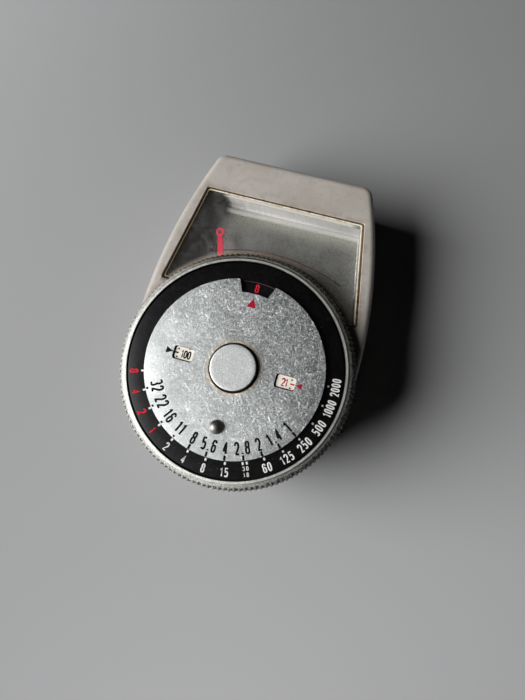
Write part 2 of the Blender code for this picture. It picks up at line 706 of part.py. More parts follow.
def window_outline(inset, foot_inset=None):
    """The window's plan, moved inwards, with its own inset at the foot under the dial."""
    foot = inset if foot_inset is None else foot_inset
    corners = [
        (-WINDOW_FOOT_HALF_WIDTH, WINDOW_FOOT_Y),
        (WINDOW_FOOT_HALF_WIDTH, WINDOW_FOOT_Y),
        (WINDOW_END_HALF_WIDTH, WINDOW_END_Y),
        (-WINDOW_END_HALF_WIDTH, WINDOW_END_Y),
    ]
    return inset_loop(corners, [foot, inset, inset, inset])


def case_body():
    """The upper shell: walls, top face with its window, bosses, and the opening for the lens."""
    rounding = edge_rounding(CASE_EDGE_RADIUS)
    shoulder = CASE_HEIGHT - CASE_EDGE_RADIUS
    sections = [case_section(0, CASE_FOOT)]
    sections += [case_section(inset, shoulder + rise) for inset, rise in rounding]
    body = piece("case_body", loft("case_body", sections), "case_plastic")
    hollow = [case_section(CASE_WALL, CASE_FOOT - OVERRUN), case_section(CASE_WALL, CASE_CEILING)]
    cut(body, loft("case_hollow", hollow))
    boss_top = (CASE_CEILING + CASE_HEIGHT) / 2
    boss_foot = COVER_FLOOR + SEAT_GAP
    for x, y in case_screw_places():
        join(body, cylinder(BOSS_RADIUS, boss_foot, boss_top, x, y))
    for x, y in chassis_screw_places():
        join(body, cylinder(CHASSIS_BOSS_RADIUS, CHASSIS_TOP + SEAT_GAP, boss_top, x, y))
    pane_hole = rounded(window_outline(0), WINDOW_CORNER_RADIUS)
    cut(body, flat("pane_hole", [pane_hole], LEDGE_TOP, CASE_HEIGHT + OVERRUN))
    ledge_hole = rounded(window_outline(LEDGE_WIDTH), WINDOW_CORNER_RADIUS)
    cut(body, flat("ledge_hole", [ledge_hole], CASE_CEILING - OVERRUN, LEDGE_TOP + OVERRUN))
    hub_hole = HUB_TUBE_RADIUS + SEAT_GAP
    cut(body, cylinder(hub_hole, CASE_CEILING - OVERRUN, CASE_HEIGHT + OVERRUN))
    cut(body, box(
        (-LENS_OPENING_HALF_WIDTH, END_WALL_INNER_Y - OVERRUN, LENS_OPENING_BOTTOM),
        (LENS_OPENING_HALF_WIDTH, CASE_END_Y + OVERRUN, LENS_OPENING_TOP),
    ))
    pilot = CASE_SCREW_RADIUS + SEAT_GAP
    pilot_top = CASE_SCREW_LENGTH + OVERRUN
    for x, y in case_screw_places():
        cut(body, cylinder(pilot, boss_foot - OVERRUN, pilot_top, x, y))
    chassis_pilot = CHASSIS_SCREW_RADIUS + SEAT_GAP
    for x, y in chassis_screw_places():
        cut(body, cylinder(chassis_pilot, CHASSIS_TOP, CASE_CEILING, x, y))


def back_cover():
    """The lower shell, with a lip that locates the case and supports for what lies inside."""
    rounding = edge_rounding(CASE_EDGE_RADIUS)
    sections = [
        case_section(inset, CASE_EDGE_RADIUS - rise) for inset, rise in reversed(rounding)
    ]
    sections.append(case_section(0, COVER_HEIGHT))
    cover = piece("back_cover", loft("back_cover", sections), "cover_plastic")
    lip_outer = CASE_WALL + SEAT_GAP
    lip_inner = lip_outer + COVER_LIP_THICKNESS
    lip_top = COVER_HEIGHT + COVER_LIP_RISE
    lip = [case_section(lip_outer, COVER_FLOOR), case_section(lip_outer, lip_top)]
    join(cover, loft("cover_lip", lip))
    hollow = [case_section(lip_inner, COVER_FLOOR), case_section(lip_inner, lip_top + OVERRUN)]
    cut(cover, loft("cover_hollow", hollow))
    for x, y in case_screw_places():
        cut(cover, cylinder(BOSS_RADIUS + SEAT_GAP, COVER_FLOOR, lip_top + OVERRUN, x, y))
        cut(cover, cylinder(CASE_SCREW_RADIUS + SEAT_GAP, -OVERRUN, COVER_FLOOR + OVERRUN, x, y))
        head = CASE_SCREW_SINK + CASE_SCREW_HEAD_HEIGHT + SEAT_GAP
        cut(cover, cylinder(CASE_SCREW_HEAD_RADIUS + SEAT_GAP, -OVERRUN, head, x, y))
    zero_place = (ZERO_SCREW_X, NEEDLE_PIVOT_Y)
    zero_floor = ZERO_HEAD_SINK + ZERO_HEAD_HEIGHT + SEAT_GAP
    cut(cover, cylinder(ZERO_SCREW_HEAD_RADIUS + SEAT_GAP, -OVERRUN, zero_floor, *zero_place))
    shank_hole = ZERO_SCREW_SHANK_RADIUS + SEAT_GAP
    cut(cover, cylinder(shank_hole, -OVERRUN, COVER_FLOOR + OVERRUN, *zero_place))
    for side in (-1, 1):
        for x, y in ((PAN_POST_NEAR_X, PAN_POST_NEAR_Y), (PAN_POST_FAR_X, PAN_POST_FAR_Y)):
            post_top = PAN_BOTTOM - SEAT_GAP
            join(cover, cylinder(PAN_POST_RADIUS, COVER_FLOOR / 2, post_top, side * x, y))
    join(cover, box(
        (-CELL_RIB_HALF_WIDTH, CELL_RIB_FRONT_Y - CELL_RIB_THICKNESS, COVER_FLOOR / 2),
        (CELL_RIB_HALF_WIDTH, CELL_RIB_FRONT_Y, LENS_OPENING_TOP),
    ))


def slotted_screw(name, x, y, head_z, head_up, sizes, finish_name="steel"):
    """A slotted screw. Its head's face lies at head_z and looks up or down."""
    head_radius, head_height, shank_radius, length = sizes
    profile = [
        (0, 0), (head_radius, 0), (head_radius, -head_height),
        (shank_radius, -head_height), (shank_radius, -length), (0, -length),
    ]
    made = turned(name, profile, finish_name, steps=SMALL_STEPS)
    made.location = (x, y, head_z)
    made.rotation_euler = (0 if head_up else pi, 0, 0)
    reach = head_radius + OVERRUN
    depth = min(SLOT_DEPTH, head_height / 2)
    cut(made, box((-reach, -SLOT_WIDTH / 2, -depth), (reach, SLOT_WIDTH / 2, OVERRUN)))
    return made


def case_screws():
    """Four screws from the back into the case's bosses."""
    sizes = (CASE_SCREW_HEAD_RADIUS, CASE_SCREW_HEAD_HEIGHT, CASE_SCREW_RADIUS,
             CASE_SCREW_LENGTH - CASE_SCREW_SINK)
    for i, (x, y) in enumerate(case_screw_places(), 1):
        slotted_screw(f"case_screw_{i}", x, y, CASE_SCREW_SINK, False, sizes)


def chassis_screws():
    """Three screws from below that hold the chassis plate under the case top."""
    length = CHASSIS_SCREW_HEAD_HEIGHT + CHASSIS_THICKNESS + CASE_CEILING - CHASSIS_TOP - SEAT_GAP
    sizes = (CHASSIS_SCREW_HEAD_RADIUS, CHASSIS_SCREW_HEAD_HEIGHT, CHASSIS_SCREW_RADIUS, length)
    head_z = CHASSIS_BOTTOM - SEAT_GAP - CHASSIS_SCREW_HEAD_HEIGHT
    for i, (x, y) in enumerate(chassis_screw_places(), 1):
        slotted_screw(f"chassis_screw_{i}", x, y, head_z, False, sizes)


def window_pane():
    """The clear pane, let into the top face and glued on its ledge."""
    outline = rounded(window_outline(SEAT_GAP), WINDOW_CORNER_RADIUS)
    mesh = flat("window_pane", [outline], LEDGE_TOP + SEAT_GAP, CASE_HEIGHT - PANE_SINK)
    piece("window_pane", mesh, "clear_glass")


def scale_plate():
    """The metal pan that closes the window from below, with coved walls on three sides."""
    outer_inset = LEDGE_WIDTH - PAN_SPREAD - PAN_THICKNESS
    inner_inset = outer_inset + PAN_THICKNESS
    top = CASE_CEILING - SEAT_GAP
    outline = window_outline(outer_inset, -PAN_FOOT_REACH)
    pan = piece("scale_plate", flat("scale_plate", [outline], PAN_BOTTOM, top), "scale_metal")
    open_foot = -PAN_FOOT_REACH - OVERRUN
    sections = []
    for inset, rise in edge_rounding(PAN_COVE_RADIUS, PAN_COVE_STEPS)[::-1]:
        loop = window_outline(inner_inset + inset, open_foot)
        sections.append([(x, y, PAN_FLOOR_TOP + PAN_COVE_RADIUS - rise) for x, y in loop])
    loop = window_outline(inner_inset, open_foot)
    sections.append([(x, y, top + OVERRUN) for x, y in loop])
    cut(pan, loft("pan_hollow", sections))


def lenslet_places():
    """Centres of the hexagonal lenslets that fit the opening, in staggered rows."""
    row_pitch = LENSLET_PITCH * sqrt(3) / 2
    half_height = (LENS_OPENING_TOP - LENS_OPENING_BOTTOM) / 2 - SEAT_GAP
    half_width = LENS_OPENING_HALF_WIDTH - SEAT_GAP
    foot = LENSLET_PITCH / sqrt(3)
    rows = int((half_height - foot) / row_pitch)
    places = []
    for row in range(-rows, rows + 1):
        shift = (row % 2) / 2
        across = int((half_width - LENSLET_PITCH / 2) / LENSLET_PITCH - shift)
        first = -across - (1 if shift else 0)
        for column in range(first, across + 1):
            places.append(((column + shift) * LENSLET_PITCH, row * row_pitch))
    return places


def honeycomb_lens():
    """The moulded lens: a flange inside the wall, a block through it, and raised lenslets."""
    half_width = LENS_OPENING_HALF_WIDTH
    lens = piece("honeycomb_lens", box(
        (-half_width - LENS_FLANGE_MARGIN, LENS_BACK_Y, LENS_BOTTOM),
        (half_width + LENS_FLANGE_MARGIN, LENS_BACK_Y + LENS_FLANGE_THICKNESS, LENS_TOP),
    ), "lens_plastic")
    block_front = CASE_END_Y - LENS_SINK - LENSLET_HEIGHT
    join(lens, box(
        (-half_width + SEAT_GAP, LENS_BACK_Y + LENS_FLANGE_THICKNESS / 2,
         LENS_OPENING_BOTTOM + SEAT_GAP),
        (half_width - SEAT_GAP, block_front, LENS_OPENING_TOP - SEAT_GAP),
    ))
    shape = bmesh.new()
    foot = LENSLET_PITCH / sqrt(3) * LENSLET_FOOT_SHARE
    depth = 2 * LENSLET_HEIGHT
    for x, z in lenslet_places():
        place = Matrix.Translation((x, block_front, LENS_MIDDLE_Z + z))
        place = place @ Matrix.Rotation(radians(-90), 4, "X")
        bmesh.ops.create_cone(
            shape, cap_ends=True, segments=6, radius1=foot * (2 - LENSLET_TOP_SHARE),
            radius2=foot * LENSLET_TOP_SHARE, depth=depth, matrix=place,
        )
    bmesh.ops.bisect_plane(
        shape, geom=shape.verts[:] + shape.edges[:] + shape.faces[:],
        plane_co=(0, block_front - LENSLET_HEIGHT / 8, 0), plane_no=(0, -1, 0), clear_outer=True,
    )
    bmesh.ops.holes_fill(shape, edges=[e for e in shape.edges if e.is_boundary], sides=0)
    join(lens, finished_mesh(shape, "lenslets"))


def cell_pack():
    """Gasket, selenium cell and bowed contact spring behind the lens."""
    half_width = LENS_OPENING_HALF_WIDTH + CELL_MARGIN
    bottom, top = LENS_BOTTOM + CELL_MARGIN, LENS_TOP - CELL_MARGIN
    gasket = piece("cell_gasket", box(
        (-half_width, GASKET_FRONT_Y - GASKET_THICKNESS, bottom), (half_width, GASKET_FRONT_Y, top),
    ), "gasket_rubber")
    cut(gasket, box(
        (-half_width + GASKET_RIM, GASKET_FRONT_Y - GASKET_THICKNESS - OVERRUN, bottom + GASKET_RIM),
        (half_width - GASKET_RIM, GASKET_FRONT_Y + OVERRUN, top - GASKET_RIM),
    ))
    piece("selenium_cell", box(
        (-half_width, CELL_BACK_Y, bottom), (half_width, CELL_FRONT_Y, top),
    ), "selenium")
    bow_radius = (CONTACT_HALF_LENGTH**2 + CONTACT_BOW**2) / (2 * CONTACT_BOW)
    spread = degrees(atan2(CONTACT_HALF_LENGTH, bow_radius - CONTACT_BOW))
    centre_y = CONTACT_FRONT_Y - bow_radius
    outer = arc(0, centre_y, bow_radius, 90 - spread, 90 + spread, FINE_STEPS)
    inner = arc(0, centre_y, bow_radius - CONTACT_THICKNESS, 90 + spread, 90 - spread, FINE_STEPS)
    mesh = flat("contact_spring", [outer + inner],
                LENS_MIDDLE_Z - CONTACT_HALF_HEIGHT, LENS_MIDDLE_Z + CONTACT_HALF_HEIGHT)
    piece("contact_spring", mesh, "spring_bronze")


def smooth_route(points, steps):
    """Points along a smooth curve through the given ones."""
    route = []
    last = len(points) - 1
    for i in range(last):
        before, a, b, after = (Vector(points[max(0, min(last, i + k))]) for k in (-1, 0, 1, 2))
        for k in range(steps):
            t = k / steps
            route.append(tuple(
                a * (2 * t**3 - 3 * t**2 + 1) + (b - before) / 2 * (t**3 - 2 * t**2 + t)
                + b * (3 * t**2 - 2 * t**3) + (after - a) / 2 * (t**3 - t**2)
            ))
    return route + [tuple(points[-1])]


def lead_wires():
    """Two leads from the cell pack, round the rib and under the pan, to the movement."""
    yoke_front = NEEDLE_PIVOT_Y + YOKE_RADIUS
    wire_x = CELL_RIB_HALF_WIDTH + SEAT_GAP + WIRE_RADIUS
    near_x = BRACKET_HALF_WIDTH + SEAT_GAP + WIRE_RADIUS
    rib_back_y = CELL_RIB_FRONT_Y - CELL_RIB_THICKNESS
    low = COVER_FLOOR + SEAT_GAP + WIRE_RADIUS
    pad_z = (BRIDGE_BOTTOM + BRIDGE_PAD_TOP) / 2
    bracket_z = (BRACKET_BOTTOM + BRACKET_TOP) / 2
    pad_y = NEEDLE_PIVOT_Y + MOVEMENT_SCREW_CIRCLE
    clear_y = yoke_front + SEAT_GAP + WIRE_RADIUS
    start_y = CELL_BACK_Y - SEAT_GAP - WIRE_RADIUS
    for name, side, end_z in (("lead_wire_right", 1, pad_z), ("lead_wire_left", -1, bracket_z)):
        points = [
            (side * wire_x, start_y, LENS_MIDDLE_Z),
            (side * wire_x, (CELL_RIB_FRONT_Y + rib_back_y) / 2, LENS_MIDDLE_Z / 2),
            (side * (wire_x + PAN_POST_RADIUS), PAN_POST_FAR_Y, low),
            (side * PAN_POST_FAR_X, (PAN_POST_FAR_Y + PAN_POST_NEAR_Y) / 2, low),
            (side * CHASSIS_WAIST_HALF_WIDTH, PAN_POST_NEAR_Y, (low + end_z) / 2),
            (side * near_x, clear_y, end_z),
            (side * near_x, pad_y + BRACKET_HALF_WIDTH / 2, end_z),
        ]
        piece(name, tube(name, smooth_route(points, 4), WIRE_RADIUS), "wire_cover")


def chassis_outline():
    """The chassis plate's edge: wide at its two ears, waisted, round at the rear screw."""
    margin = CHASSIS_EDGE_MARGIN
    ear_out = CHASSIS_EAR_X + margin
    ear_low = CHASSIS_EAR_Y - margin
    nose = NEEDLE_PIVOT_Y + YOKE_RADIUS + SEAT_GAP
    right = [
        (margin, CHASSIS_REAR_Y - CHASSIS_SCREW_HEAD_RADIUS),
        (CHASSIS_WAIST_HALF_WIDTH, LEVER_PIVOT_Y),
        (CHASSIS_WAIST_HALF_WIDTH, ear_low - YOKE_RADIUS / 2),
        (ear_out, ear_low),
        (ear_out, CHASSIS_EAR_Y + margin),
        (CHASSIS_WAIST_HALF_WIDTH, nose),
    ]
    left = [(-x, y) for x, y in reversed(right)]
    return rounded(right + left, CHASSIS_CORNER_RADIUS)


def chassis_plate():
    """The plate that carries the dial post, the lever's stud and the movement."""
    holes = [circle(CHASSIS_SCREW_RADIUS + SEAT_GAP, x, y) for x, y in chassis_screw_places()]
    holes.append(circle(POST_RADIUS + SEAT_GAP))
    holes.append(circle(LEVER_STUD_RADIUS + SEAT_GAP, 0, LEVER_PIVOT_Y))
    holes.append(circle(JEWEL_SCREW_RADIUS + SEAT_GAP, 0, NEEDLE_PIVOT_Y))
    holes.append(circle(SPRING_PIN_RADIUS + FIT_GAP, SPRING_PIN_X, NEEDLE_PIVOT_Y))
    for side in (-1, 1):
        x = side * MOVEMENT_SCREW_CIRCLE
        holes.append(circle(MOVEMENT_SCREW_RADIUS + FIT_GAP, x, NEEDLE_PIVOT_Y))
    mesh = flat("chassis_plate", [chassis_outline(), *holes], CHASSIS_BOTTOM, CHASSIS_TOP)
    plate = piece("chassis_plate", mesh, "satin_aluminium")
    for side in (-1, 1):
        x = side * MOVEMENT_SCREW_CIRCLE
        recess = CHASSIS_TOP - MOVEMENT_HEAD_HEIGHT - 2 * FIT_GAP
        recess_radius = MOVEMENT_HEAD_RADIUS + FIT_GAP
        cut(plate, cylinder(recess_radius, recess, CHASSIS_TOP + OVERRUN, x, NEEDLE_PIVOT_Y))


def center_post():
    """The fixed post: a foot under the chassis, a shaft through the hub, and a seat for the disc."""
    flange_bottom = WEB_BOTTOM
    profile = [
        (0, WEB_TOP), (POST_FLANGE_RADIUS, WEB_TOP), (POST_FLANGE_RADIUS, flange_bottom),
        (POST_RADIUS, flange_bottom), (POST_RADIUS, CHASSIS_BOTTOM - FIT_GAP),
        (POST_FOOT_RADIUS, CHASSIS_BOTTOM - FIT_GAP),
        (POST_FOOT_RADIUS, CHASSIS_BOTTOM - FIT_GAP - POST_FOOT_THICKNESS),
        (0, CHASSIS_BOTTOM - FIT_GAP - POST_FOOT_THICKNESS),
    ]
    post = turned("center_post", profile, "steel")
    bore_floor = DISC_BOTTOM - CAP_THREAD_LENGTH - SEAT_GAP
    cut(post, cylinder(CAP_THREAD_RADIUS + SEAT_GAP, bore_floor, WEB_TOP + OVERRUN))


def dial_ring():
    """The ring: a knurled wall that runs out up its bevel, a bright lip, and a web inside."""
    foot = CASE_HEIGHT + DIAL_LIFT
    knurl_foot = foot + RIM_FOOT_RISE
    bevel_foot = knurl_foot + RIM_STRAIGHT
    lip_outer = SCALE_RADIUS + LIP_WIDTH
    knurled = 2 * KNURL_TEETH
    web_hole = POST_FLANGE_RADIUS + SEAT_GAP + FIT_GAP
    rows = [
        ring_of_points(DIAL_RADIUS - RIM_FOOT_DRAFT, foot, DIAL_STEPS),
        ring_of_points(DIAL_RADIUS, knurl_foot, knurled, KNURL_DEPTH),
        ring_of_points(DIAL_RADIUS, bevel_foot, knurled, KNURL_DEPTH),
        ring_of_points(lip_outer + LIP_RISE, FACE_Z, DIAL_STEPS),
        ring_of_points(lip_outer - LIP_RISE, FACE_Z + LIP_RISE, DIAL_STEPS),
        ring_of_points(SCALE_RADIUS, FACE_Z + LIP_RISE, DIAL_STEPS),
        ring_of_points(SCALE_RADIUS, WEB_TOP, DIAL_STEPS),
        ring_of_points(web_hole, WEB_TOP, DIAL_STEPS),
        ring_of_points(web_hole, WEB_BOTTOM, DIAL_STEPS),
        ring_of_points(DIAL_RADIUS - RIM_WALL, WEB_BOTTOM, DIAL_STEPS),
        ring_of_points(DIAL_RADIUS - RIM_WALL, foot, DIAL_STEPS),
    ]
    ring = piece("dial_ring", loft("dial_ring", rows, hoop=True), "satin_aluminium", RING_AXIS)
    head_floor = WEB_TOP - RIVET_HEAD_HEIGHT - 2 * FIT_GAP
    for x, y in hub_rivet_places():
        cut(ring, cylinder(RIVET_RADIUS + FIT_GAP, WEB_BOTTOM - SEAT_GAP, WEB_TOP + OVERRUN, x, y))
        cut(ring, cylinder(RIVET_HEAD_RADIUS + FIT_GAP, head_floor, WEB_TOP + OVERRUN, x, y))


def hub_rivet_places():
    """Centres of the rivets that join the ring's web to the hub."""
    turns = [2 * pi * i / HUB_RIVET_COUNT for i in range(HUB_RIVET_COUNT)]
    return [(HUB_RIVET_CIRCLE * cos(a), HUB_RIVET_CIRCLE * sin(a)) for a in turns]


def dial_hub():
    """The flanged hub that carries the ring above the case and the pinion below its top."""
    profile = [
        (HUB_FLANGE_RADIUS, HUB_TOP), (HUB_FLANGE_RADIUS, HUB_FLANGE_BOTTOM),
        (HUB_TUBE_RADIUS, HUB_FLANGE_BOTTOM), (HUB_TUBE_RADIUS, PINION_BOTTOM),
        (HUB_BORE_RADIUS, PINION_BOTTOM), (HUB_BORE_RADIUS, HUB_TOP),
    ]
    hub = turned("dial_hub", profile, "brass", RING_AXIS, 2 * SMALL_STEPS, closed=True)
    for x, y in hub_rivet_places():
        hole = RIVET_RADIUS + FIT_GAP
        cut(hub, cylinder(hole, HUB_FLANGE_BOTTOM - OVERRUN, HUB_TOP + OVERRUN, x, y))


def double_headed_rivet(name, x, y, bottom, top, sizes, finish_name, axis):
    """A rivet with a head at each end."""
    radius, head_radius, head_height = sizes
    profile = [
        (0, top), (head_radius, top), (head_radius, top - head_height), (radius, top - head_height),
        (radius, bottom + head_height), (head_radius, bottom + head_height),
        (head_radius, bottom), (0, bottom),
    ]
    made = turned(name, profile, finish_name, axis, steps=SMALL_STEPS)
    made.location = (x, y, 0)


def hub_rivets():
    """Rivets through the web and the hub's flange, sunk below the black scale."""
    sizes = (RIVET_RADIUS, RIVET_HEAD_RADIUS, RIVET_HEAD_HEIGHT)
    bottom = HUB_FLANGE_BOTTOM - FIT_GAP - RIVET_HEAD_HEIGHT
    top = WEB_TOP - FIT_GAP
    for i, (x, y) in enumerate(hub_rivet_places(), 1):
        double_headed_rivet(f"hub_rivet_{i}", x, y, bottom, top, sizes, "brass", RING_AXIS)


def spring_washer():
    """A waved washer that gives the ring its drag on the case top."""
    middle = (CASE_HEIGHT + HUB_FLANGE_BOTTOM) / 2
    rows = []
    for radius, side in (
        (WASHER_OUTER_RADIUS, 1), (WASHER_OUTER_RADIUS, -1),
        (WASHER_INNER_RADIUS, -1), (WASHER_INNER_RADIUS, 1),
    ):
        row = []
        for x, y, z in ring_of_points(radius, middle + side * WASHER_THICKNESS / 2, WASHER_STEPS):
            row.append((x, y, z + WASHER_WAVE * cos(WASHER_WAVES * atan2(y, x))))
        rows.append(row)
    piece("spring_washer", loft("spring_washer", rows, hoop=True), "spring_bronze")


def scale_discs():
    """The black time scale on the ring, and the fixed film speed disc inside it."""
    outer = SCALE_RADIUS - SEAT_GAP
    profile = ring_profile(SCALE_INNER_RADIUS, outer, SCALE_BOTTOM, FACE_Z)
    turned("time_scale_plate", profile, "black_lacquer", RING_AXIS, DIAL_STEPS, closed=True)
    inner = CAP_THREAD_RADIUS + SEAT_GAP
    profile = ring_profile(inner, SCALE_INNER_RADIUS - SEAT_GAP, SCALE_BOTTOM, FACE_Z)
    turned("film_speed_disc", profile, "cream_lacquer", None, ROUND_STEPS, closed=True)


def disc_outline():
    """The f-stop disc's edge, with its notch at +Y."""
    start = 90 + NOTCH_OUTER_HALF_ANGLE
    edge = arc(0, 0, DISC_RADIUS, start, start + 360 - 2 * NOTCH_OUTER_HALF_ANGLE, DISC_STEPS)
    inner = 90 - NOTCH_INNER_HALF_ANGLE
    floor = arc(0, 0, DISC_RADIUS - NOTCH_DEPTH, inner, 180 - inner, CORNER_STEPS)
    return edge + floor


def f_stop_disc():
    """The silver disc, with the notch, the two film speed windows and the recess for the cap."""
    loops = [disc_outline()]
    for side in (-1, 1):
        low_x = side * SPEED_WINDOW_X - SPEED_WINDOW_HALF_WIDTH
        high_x = side * SPEED_WINDOW_X + SPEED_WINDOW_HALF_WIDTH
        half = SPEED_WINDOW_HALF_HEIGHT
        corners = [(low_x, -half), (high_x, -half), (high_x, half), (low_x, half)]
        loops.append(rounded(corners, SPEED_WINDOW_CORNER))
    loops.append(circle(CAP_STEM_RADIUS + SEAT_GAP, steps=FINE_STEPS))
    loops.append(circle(STUD_STEM_RADIUS + SEAT_GAP, 0, STUD_Y))
    mesh = flat("f_stop_disc", loops, DISC_BOTTOM, DISC_TOP)
    disc = piece("f_stop_disc", mesh, "satin_aluminium", DISC_AXIS)
    recess = CAP_RADIUS + CAP_RECESS_MARGIN
    cut(disc, cylinder(recess, DISC_TOP - CAP_RECESS_DEPTH, DISC_TOP + OVERRUN, steps=ROUND_STEPS))


def setting_stud():
    """The domed steel stud that turns the f-stop disc."""
    base = DISC_TOP + FIT_GAP
    steps = 6
    dome = []
    for k in range(steps + 1):
        angle = radians(90) * k / steps
        dome.append((STUD_RADIUS * sin(angle), base + STUD_RISE * cos(angle)))
    profile = dome + [(STUD_STEM_RADIUS, base), (STUD_STEM_RADIUS, DISC_BOTTOM + FIT_GAP),
                      (0, DISC_BOTTOM + FIT_GAP)]
    stud = turned("setting_stud", profile, "steel", DISC_AXIS, steps=FINE_STEPS)
    stud.location = (0, STUD_Y, 0)


def center_cap():
    """The cap that clamps the film speed disc and keeps the f-stop disc down."""
    top = DISC_TOP + CAP_RISE
    head_bottom = DISC_TOP - CAP_RECESS_DEPTH + SEAT_GAP
    stem_bottom = DISC_BOTTOM
    thread_bottom = DISC_BOTTOM - CAP_THREAD_LENGTH
    profile = [(0, top)]
    for inset, rise in edge_rounding(CAP_EDGE_RADIUS)[::-1]:
        profile.append((CAP_RADIUS - inset, top - CAP_EDGE_RADIUS + rise))
    profile += [
        (CAP_RADIUS, head_bottom), (CAP_STEM_RADIUS, head_bottom), (CAP_STEM_RADIUS, stem_bottom),
        (CAP_THREAD_RADIUS, stem_bottom), (CAP_THREAD_RADIUS, thread_bottom), (0, thread_bottom),
    ]
    turned("center_cap", profile, "satin_aluminium", steps=ROUND_STEPS)


def involute(angle):
    return tan(angle) - angle


def tooth_half_angle(radius, pitch_radius, teeth, thicken):
    """Half the angle that an involute tooth takes at a radius."""
    base = pitch_radius * cos(radians(PRESSURE_ANGLE))
    at_pitch = involute(radians(PRESSURE_ANGLE))
    here = involute(atan2(sqrt(max(radius**2 - base**2, 0)), base))
    return pi / (2 * teeth) + at_pitch - here + thicken / (2 * pitch_radius)


def tooth_points(middle, pitch_radius, teeth, low, high, thicken):
    """One tooth's flanks about the direction middle, up one side and down the other."""
    radii = [low + (high - low) * k / FLANK_STEPS for k in range(FLANK_STEPS + 1)]
    up, down = [], []
    for radius in radii:
        half = tooth_half_angle(radius, pitch_radius, teeth, thicken)
        up.append((radius * cos(middle - half), radius * sin(middle - half)))
        down.append((radius * cos(middle + half), radius * sin(middle + half)))
    return up + down[::-1]


def drive_pinion():
    """The pinion on the hub, with one tooth pointing at +Y."""
    low = PINION_PITCH_RADIUS - GEAR_MODULE * DEDENDUM_SHARE
    outline = []
    for tooth in range(PINION_TEETH):
        middle = radians(90) + 2 * pi * tooth / PINION_TEETH
        outline += tooth_points(
            middle, PINION_PITCH_RADIUS, PINION_TEETH, low, PINION_TIP_RADIUS, -BACKLASH)
    bore = circle(HUB_TUBE_RADIUS + SEAT_GAP)
    mesh = flat("drive_pinion", [outline, bore], PINION_BOTTOM, PINION_TOP)
    piece("drive_pinion", mesh, "brass", RING_AXIS)


def lever_slot():
    """The lever's slot round the pinion, toothed along its outer edge.

    Angles run from the pointer's own direction. A tooth space faces the pinion at rest.
    """
    inner = arc(0, 0, LEVER_SLOT_INNER_RADIUS, 90 + LEVER_SLOT_LEFT_ANGLE,
                90 + LEVER_SLOT_RIGHT_ANGLE, FINE_STEPS)
    low = SECTOR_PITCH_RADIUS - GEAR_MODULE * ADDENDUM_SHARE
    high = SECTOR_ROOT_RADIUS
    facing = radians(90 - POINTER_REST_ANGLE)
    spaces = []
    for space in range(-SECTOR_SPACES_BEFORE, SECTOR_SPACES_AFTER + 1):
        middle = facing + 2 * pi * space / SECTOR_FULL_TEETH
        spaces += tooth_points(
            middle, SECTOR_PITCH_RADIUS, SECTOR_FULL_TEETH, low, high, BACKLASH)
    first_angle = degrees(atan2(spaces[0][1], spaces[0][0]))
    last_angle = degrees(atan2(spaces[-1][1], spaces[-1][0]))
    before = arc(0, 0, low, 90 + LEVER_SLOT_RIGHT_ANGLE, first_angle, CORNER_STEPS)[:-1]
    after = arc(0, 0, low, last_angle, 90 + LEVER_SLOT_LEFT_ANGLE, CORNER_STEPS)[1:]
    return inner + before + spaces + after


def lever_outline():
    """The lever's edge: hub, spokes, rim, and the tongue that carries the red blade."""
    left = 90 + LEVER_SLOT_LEFT_ANGLE + LEVER_SPOKE_ANGLE
    right = 90 + LEVER_SLOT_RIGHT_ANGLE - LEVER_SPOKE_ANGLE
    tongue_half = degrees(atan2(LEVER_TONGUE_HALF_WIDTH, LEVER_RIM_RADIUS))
    tongue_y = LEVER_RIM_RADIUS + LEVER_TONGUE_REACH
    rim_right = arc(0, 0, LEVER_RIM_RADIUS, right, 90 - tongue_half, FINE_STEPS)
    tongue = [(LEVER_TONGUE_HALF_WIDTH, tongue_y), (-LEVER_TONGUE_HALF_WIDTH, tongue_y)]
    rim_left = arc(0, 0, LEVER_RIM_RADIUS, 90 + tongue_half, left, FINE_STEPS)
    hub = arc(0, 0, LEVER_HUB_RADIUS, left + LEVER_HUB_FREE_ANGLE,
              right + 360 - LEVER_HUB_FREE_ANGLE, SMALL_STEPS)
    return rim_right + tongue + rim_left + hub


def pointer_rivet_places():
    """Where the two rivets join blade and tongue, as distances from the pivot."""
    first = LEVER_RIM_RADIUS
    return [first, first + LEVER_TONGUE_REACH * TONGUE_RIVET_SHARE]


def sector_lever():
    """The lever with its internal sector, turning on the chassis stud."""
    loops = [lever_outline(), lever_slot(), circle(LEVER_STUD_RADIUS + SEAT_GAP)]
    for y in pointer_rivet_places():
        loops.append(circle(RIVET_RADIUS * POINTER_RIVET_SHARE, 0, y))
    mesh = flat("sector_lever", loops, LEVER_BOTTOM, LEVER_TOP)
    piece("sector_lever", mesh, "satin_aluminium", POINTER_AXIS)


def red_pointer():
    """The red blade that ends in a small ring over the scale."""
    neck_y = POINTER_LENGTH - BLADE_RING_RADIUS
    neck_angle = degrees(atan2(BLADE_NECK_HALF_WIDTH, BLADE_RING_RADIUS))
    ring = arc(0, POINTER_LENGTH, BLADE_RING_RADIUS, -90 + neck_angle, 270 - neck_angle, FINE_STEPS)
    tongue_end = LEVER_RIM_RADIUS + LEVER_TONGUE_REACH
    right = [(BLADE_ROOT_HALF_WIDTH, BLADE_ROOT_RADIUS), (BLADE_ROOT_HALF_WIDTH, tongue_end),
             (BLADE_NECK_HALF_WIDTH, neck_y - BLADE_RING_RADIUS / 2)]
    left = [(-x, y) for x, y in reversed(right)]
    loops = [right + ring + left]
    loops.append(circle(BLADE_RING_HOLE_RADIUS, 0, POINTER_LENGTH, SMALL_STEPS))
    for y in pointer_rivet_places():
        loops.append(circle(RIVET_RADIUS * POINTER_RIVET_SHARE, 0, y))
    mesh = flat("red_pointer", loops, BLADE_BOTTOM, BLADE_TOP)
    piece("red_pointer", mesh, "red_lacquer", POINTER_AXIS)


